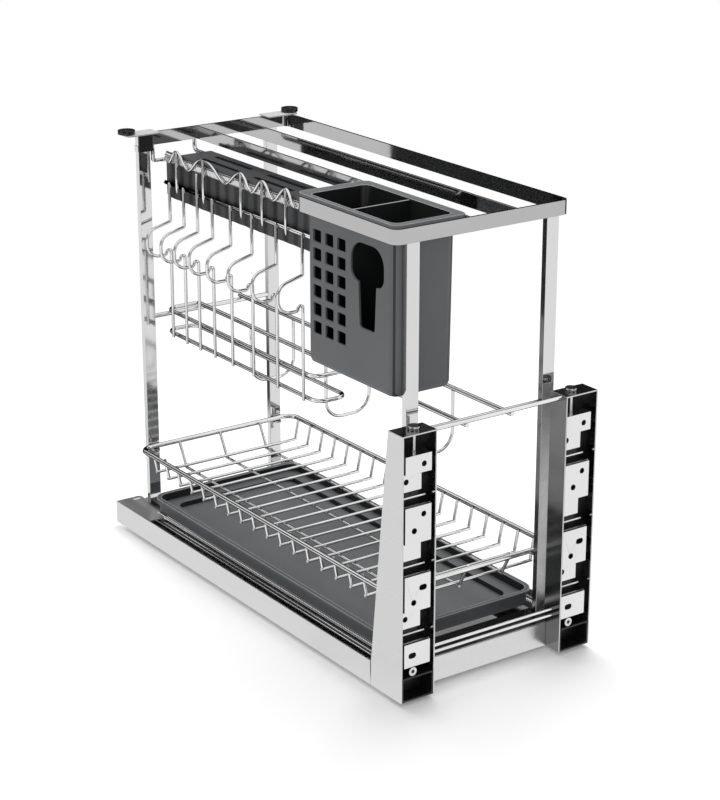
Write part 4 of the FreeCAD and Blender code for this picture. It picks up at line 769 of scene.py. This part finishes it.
class RACK_OT_block_wall(bpy.types.Operator):
    """Gives the knife block its long left wall with soft upright ribs.

    A rib stands out by its depth times half of 1 minus the cosine of 2 pi times the place over
    the pitch. The foot's corners and the rear end are quarter circles.
    """

    bl_idname = "rack.block_wall"
    bl_label = "Left wall of the knife block"

    def execute(self, context):
        trim = context.scene.rack_trim
        front, rear = -69.5, trim.wall_rear
        top, foot, corner = 392.2, 346.7, 9.0
        outside, inside, rounding, thinnest = -47.6, -46.2, 4.0, 0.3
        rows = np.linspace(front, rear, 700)
        into_corner = np.clip(corner - np.minimum(rear - rows, rows - front), 0, corner)
        low = foot + corner - np.sqrt(corner ** 2 - into_corner ** 2)
        into_end = np.clip(rounding - (rear - rows), 0, rounding)
        back_off = rounding - np.sqrt(rounding ** 2 - into_end ** 2)
        wave = 0.5 - 0.5 * np.cos(2 * math.pi * (rows - front) / trim.rib_pitch)
        outer = outside - trim.rib_depth * wave + back_off * 0.8
        outer = np.minimum(outer, inside - thinnest)
        inner, high = np.full(len(rows), inside), np.full(len(rows), top)
        points, faces = lengthwise(rows, np.stack([outer, outer, inner, inner], axis=1),
                                   np.stack([low, high, high, low], axis=1))
        # The ribs' light and shade are painted into the wall's colour, on top of its shaped ribs
        item = piece("block_wall", points, faces, "grey_plastic", "block", look="rib_plastic")
        item.data.set_sharp_from_angle(angle=math.radians(50))
        return {"FINISHED"}


class RACK_OT_liners(bpy.types.Operator):
    """Puts painted shade in the door brackets' channels, a painted dark reflection on the lids,
    chrome and painted light on the inner walls, and painted highlights on the plates' steps.
    """

    bl_idname = "rack.liners"
    bl_label = "Inside of the door brackets"

    def execute(self, context):
        dark, wall, lid, gleam, lights = [], [], [], [], []
        near, far, foot = 71.8, 105.2, 24.3
        mouth, back = -252.3, -232.3
        for side in (-1, 1):
            # Painted shade: dark sheets in the channels and under the lids
            dark.append(slab((side * far, back - 0.6, foot), (side * near, back, 245.7)))
            dark.append(slab((side * far, mouth + 2.5, 245.5), (side * near, back, 245.75)))
            for place in (71.95, 105.25):
                wall.append(slab((side * place, mouth, foot),
                                 (side * (place - 0.15), back - 0.7, 245.4)))
            # Painted dark reflection on the lids
            lid.append(slab((side * 106.0, -252.0, 247.0), (side * 71.0, -231.5, 247.12)))
            inside = -71.98 if side < 0 else 105.02
            # Painted light: bright bits on the inner walls
            for low, high in WALL_LIGHTS:
                lights.append(slab((inside - 0.06, mouth + 0.1, low), (inside, -244.5, high)))
            left, right = (-102.7, -75.7) if side < 0 else (72.5, 99.5)
            for low, high in STEPS:
                # Painted highlights: thin chrome bars on the plates' steps
                gleam.append(slab((left, STEP_FRONT, low + 4.6),
                                  (right, STEP_FRONT + 0.3, low + 6)))
                gleam.append(slab((left, -250.2, low + 0.2), (right, -249.0, low + 0.8)))
        for name, parts, look in (
                ("bracket_shade", dark, "deep_shade"), ("bracket_walls", wall, "channel_wall"),
                ("bracket_lids", lid, "dark_mirror"), ("bracket_wall_lights", lights, None)):
            piece(name, *joined(parts), "base_steel", "carriage", smooth=False, look=look)
        half = len(gleam) // 2
        for parts, name in ((gleam[:half], "left"), (gleam[half:], "right")):
            piece("plate_gleams_" + name, *joined(parts), "chrome_plate", "plate_" + name,
                  smooth=False)
        return {"FINISHED"}


class RACK_OT_runner_trim(bpy.types.Operator):
    """Draws the runners' rolled edges, real edges whose bright chrome against the rails' painted
    dark reflection is a painted highlight, and the toothed strips on the tray rails.

    A tooth's height follows half of 1 plus the cosine of 2 pi times the place over the pitch.
    """

    bl_idname = "rack.runner_trim"
    bl_label = "Runner edges and toothed strips"

    def execute(self, context):
        trim = context.scene.rack_trim
        edge_level = 22.0 + trim.edge_wire * 0.3
        parts = []
        for side in (-1, 1):
            for across in (92.4, 96.6):
                line = np.array([[side * across, -197], [side * across, 198]], float)
                parts.append(wire(line, trim.edge_wire, 8, "top", edge_level))
        # Painted highlight: bright chrome edges along the rails' painted dark lips
        piece("runner_edges", *joined(parts), "rail_steel", "cabinet_rails", look="chrome_posts")
        foot, valley = 24.6, 25.2
        rows = np.linspace(-196, 199, 1250)
        tooth = 0.5 + 0.5 * np.cos(2 * math.pi * rows / trim.tooth_pitch)
        crest, base = valley + trim.tooth_height * tooth, np.full(len(rows), foot)
        parts = []
        for side in (-1, 1):
            across = np.tile(side * np.array([88.6, 88.2, 86.4, 86.0]), (len(rows), 1))
            points, faces = lengthwise(rows, across, np.stack([base, crest, crest, base], axis=1))
            if side > 0:
                faces = [face[::-1] for face in faces]
            parts.append((points, faces))
        piece("toothed_strips", *joined(parts), "base_steel", "carriage", look="chrome_posts")
        return {"FINISHED"}


class RACK_OT_fasteners(bpy.types.Operator):
    """Puts painted shade into the foot screws' recesses and the height screws' cross slots."""

    bl_idname = "rack.fasteners"
    bl_label = "Screw recesses"

    def execute(self, context):
        profile = [(0.02, -0.12), (1.7, -0.12), (1.75, 0.0), (0.02, 0.02)]
        # Painted shade in the foot screws' recesses
        parts = [revolved(profile, (place, PLATE_FRONT, 28.5), 24) for place in (-93.6, 81.6)]
        piece("foot_screw_recess", *joined(parts), "screw_steel", "carriage", look="deep_shade")
        for side, name in ((-1, "left"), (1, "right")):
            centre = np.array((side * 86.0, -240.0, 250.0))
            arm, half = 2.6, 0.7
            cross = [slab(centre - (arm, half, 0.05), centre + (arm, half, 0.06)),
                     slab(centre - (half, arm, 0.05), centre + (half, arm, 0.07))]
            piece("screw_cross_" + name, *joined(cross), "screw_steel", "screw_" + name,
                  smooth=False, look="deep_shade")
        return {"FINISHED"}


class RACK_OT_collar(bpy.types.Operator):
    """Puts the bright collar round the rear left post's head, and rings of painted shade round the
    plates' pins.
    """

    bl_idname = "rack.collar"
    bl_label = "Post collar and pin rings"

    def execute(self, context):
        foot, top = 396, 401.8
        sides = [slab((-81.5, 224.9, foot), (-67.6, 225.4, top)),
                 slab((-81.6, 224.9, foot), (-81.1, 232, top)),
                 slab((-81.5, 231.6, foot), (-67.6, 232.1, top))]
        piece("post_collar", *joined(sides), "chrome_posts", "carriage", smooth=False)
        ring = [(2.1, 0.0), (2.1, -0.15), (2.7, -0.15), (2.7, 0.0)]
        for side, name in ((-93.4, "left"), (81.8, "right")):
            # Painted shade round the pins
            parts = [revolved(ring, (side, PLATE_FRONT, level), 28) for level in (93.4, 159.8)]
            piece("pin_rings_" + name, *joined(parts), "chrome_plate", "plate_" + name,
                  look="deep_shade")
        return {"FINISHED"}


class RACK_OT_stage(bpy.types.Operator):
    """Sets the camera at the photograph's angle, the floor, the lamps and the world."""

    bl_idname = "rack.stage"
    bl_label = "Camera, lamps and floor"

    def execute(self, context):
        stage = context.scene.rack_stage
        scene = context.scene
        scene.view_settings.view_transform = "Standard"
        lens = bpy.data.cameras.new("camera")
        lens.sensor_width = 36.0
        lens.lens = stage.lens
        lens.clip_start, lens.clip_end = 0.05, 60.0
        camera = new_object("camera", lens)
        camera.location = stage.eye
        camera.rotation_euler = (math.radians(90 - stage.elevation), 0, math.radians(stage.azimuth))
        scene.camera = camera
        self.floor(stage)
        self.world(stage)
        self.flags(stage)
        for name, place, size, power in LAMPS:
            light = bpy.data.lights.new(name, "AREA")
            light.size = size
            light.energy = getattr(stage, power)
            lamp = new_object(name, light)
            lamp.location = place
            lamp.visible_glossy = False
            back = np.array(place) - LAMP_AIM
            yaw = math.atan2(back[0], -back[1])
            pitch = math.atan2(back[2], math.hypot(back[0], back[1]))
            lamp.rotation_euler = (math.pi / 2 - pitch, 0, yaw)
        return {"FINISHED"}

    def floor(self, stage):
        """A wide pale floor that reads white to the camera and to metal, with its shadow kept.

        In mirrors one sector of it is dark, from a radius on, with soft borders.
        """
        half, border = 12.0, 6.0
        corners = [(-half, -half, 0), (half, -half, 0), (half, half, 0), (-half, half, 0)]
        mesh = new_mesh("floor", corners, [(0, 1, 2, 3)])
        material, tree, shader = new_material("floor")
        shader.inputs["Roughness"].default_value = 0.7
        shader.inputs["Specular IOR Level"].default_value = 0.2
        grey = stage.floor_grey
        tint = shaded(tree, noise(tree, 0.6), (grey * 0.985,) * 3, (grey,) * 3)
        tree.links.new(tint, shader.inputs["Base Color"])
        glow = tree.nodes.new("ShaderNodeEmission")
        across, along = coordinate(tree, "X"), coordinate(tree, "Y")
        square = maths(tree, "ADD", maths(tree, "MULTIPLY", across, across),
                       maths(tree, "MULTIPLY", along, along))
        distance = maths(tree, "SQRT", square)
        turn = maths(tree, "DEGREES", maths(tree, "ARCTAN2", along, across))
        mirror = tree.nodes.new("ShaderNodeLightPath").outputs["Is Glossy Ray"]
        shade = ramped(tree, distance, stage.dark_radius, stage.dark_radius * 1.25)
        for angle, soft in ((stage.dark_start, border), (stage.dark_end, -border)):
            shade = maths(tree, "MULTIPLY", shade, ramped(tree, turn, angle - soft, angle + soft))
        bright = maths(tree, "SUBTRACT", 1.0, maths(tree, "MULTIPLY", shade, 0.93))
        near = ramped(tree, distance, stage.glow_start, stage.glow_end)
        near = maths(tree, "MULTIPLY_ADD", near, 1 - stage.glow_near, stage.glow_near)
        near = maths(tree, "MULTIPLY", near, seen_directly(tree))
        share = maths(tree, "MAXIMUM", near, mirror)
        strength = maths(tree, "MAXIMUM", bright, maths(tree, "SUBTRACT", 1.0, mirror))
        tree.links.new(strength, glow.inputs["Strength"])
        mix = tree.nodes.new("ShaderNodeMixShader")
        tree.links.new(share, mix.inputs["Fac"])
        tree.links.new(shader.outputs["BSDF"], mix.inputs[1])
        tree.links.new(glow.outputs["Emission"], mix.inputs[2])
        output = next(node for node in tree.nodes if node.type == "OUTPUT_MATERIAL")
        tree.links.new(mix.outputs[0], output.inputs["Surface"])
        mesh.materials.append(material)
        floor = new_object("floor", mesh)
        floor.location.z = -stage.floor_gap * MM

    def world(self, stage):
        """White to camera, mirror and glass rays, and softer on surfaces."""
        world = bpy.data.worlds.new("studio")
        world.use_nodes = True
        bpy.context.scene.world = world
        tree = world.node_tree
        tree.nodes.clear()
        output = tree.nodes.new("ShaderNodeOutputWorld")
        mix = tree.nodes.new("ShaderNodeMixShader")
        tree.links.new(seen_directly(tree), mix.inputs["Fac"])
        for place, strength in ((1, stage.ambient), (2, 1.0)):
            background = tree.nodes.new("ShaderNodeBackground")
            background.inputs["Color"].default_value = (1, 1, 1, 1)
            background.inputs["Strength"].default_value = strength
            tree.links.new(background.outputs[0], mix.inputs[place])
        tree.links.new(mix.outputs[0], output.inputs["Surface"])

    def flags(self, stage):
        """Dark studio screens in a ring, seen only in mirrors, which give chrome its dark lines."""
        material, tree, shader = new_material("dark_screen")
        shader.inputs["Roughness"].default_value = 0.9
        tree.links.new(shaded(tree, noise(tree, 0.8), (0.006,) * 3, (0.02,) * 3),
                       shader.inputs["Base Color"])
        for number, (start, end) in enumerate(SCREENS):
            turn = np.radians(np.linspace(start, end, 25))
            ring = np.stack([np.cos(turn), np.sin(turn)], axis=1) * stage.flag_radius
            low = np.column_stack([ring, np.full(len(turn), stage.flag_low)])
            high = np.column_stack([ring, np.full(len(turn), stage.flag_high)])
            mesh = new_mesh("dark_screen", np.vstack([low, high]), grid_faces(2, len(turn), False))
            mesh.materials.append(material)
            screen = new_object("dark_screen_%d" % number, mesh)
            for ray in ("camera", "diffuse", "shadow", "transmission"):
                setattr(screen, "visible_" + ray, False)


class RACK_PT_panel(bpy.types.Panel):
    """The rack's sizes and finishes in the sidebar."""

    bl_idname = "RACK_PT_panel"
    bl_label = "Rack"
    bl_space_type = "VIEW_3D"
    bl_region_type = "UI"
    bl_category = "Rack"

    def draw(self, context):
        for group in GROUPS:
            box = self.layout.box()
            settings = getattr(context.scene, GROUPS[group])
            for name in group.__annotations__:
                box.prop(settings, name)
        for operator in PIECES:
            self.layout.operator(operator.bl_idname)


GROUPS = {RackFinish: "rack_finish", RackWires: "rack_wires", RackTrim: "rack_trim",
          RackStage: "rack_stage"}
PIECES = (RACK_OT_skins, RACK_OT_face_paint, RACK_OT_rim_lines, RACK_OT_cage_wires,
          RACK_OT_wave, RACK_OT_rods, RACK_OT_block_wall, RACK_OT_liners, RACK_OT_runner_trim,
          RACK_OT_fasteners, RACK_OT_collar, RACK_OT_stage)


def register():
    for group, name in GROUPS.items():
        bpy.utils.register_class(group)
        setattr(bpy.types.Scene, name, PointerProperty(type=group))
    for item in (*PIECES, RACK_PT_panel):
        bpy.utils.register_class(item)


def unregister():
    for item in (RACK_PT_panel, *reversed(PIECES)):
        bpy.utils.unregister_class(item)
    for group, name in GROUPS.items():
        delattr(bpy.types.Scene, name)
        bpy.utils.unregister_class(group)


def main():
    register()
    for operator in PIECES:
        area, name = operator.bl_idname.split(".")
        getattr(getattr(bpy.ops, area), name)()


if __name__ == "__main__":
    main()
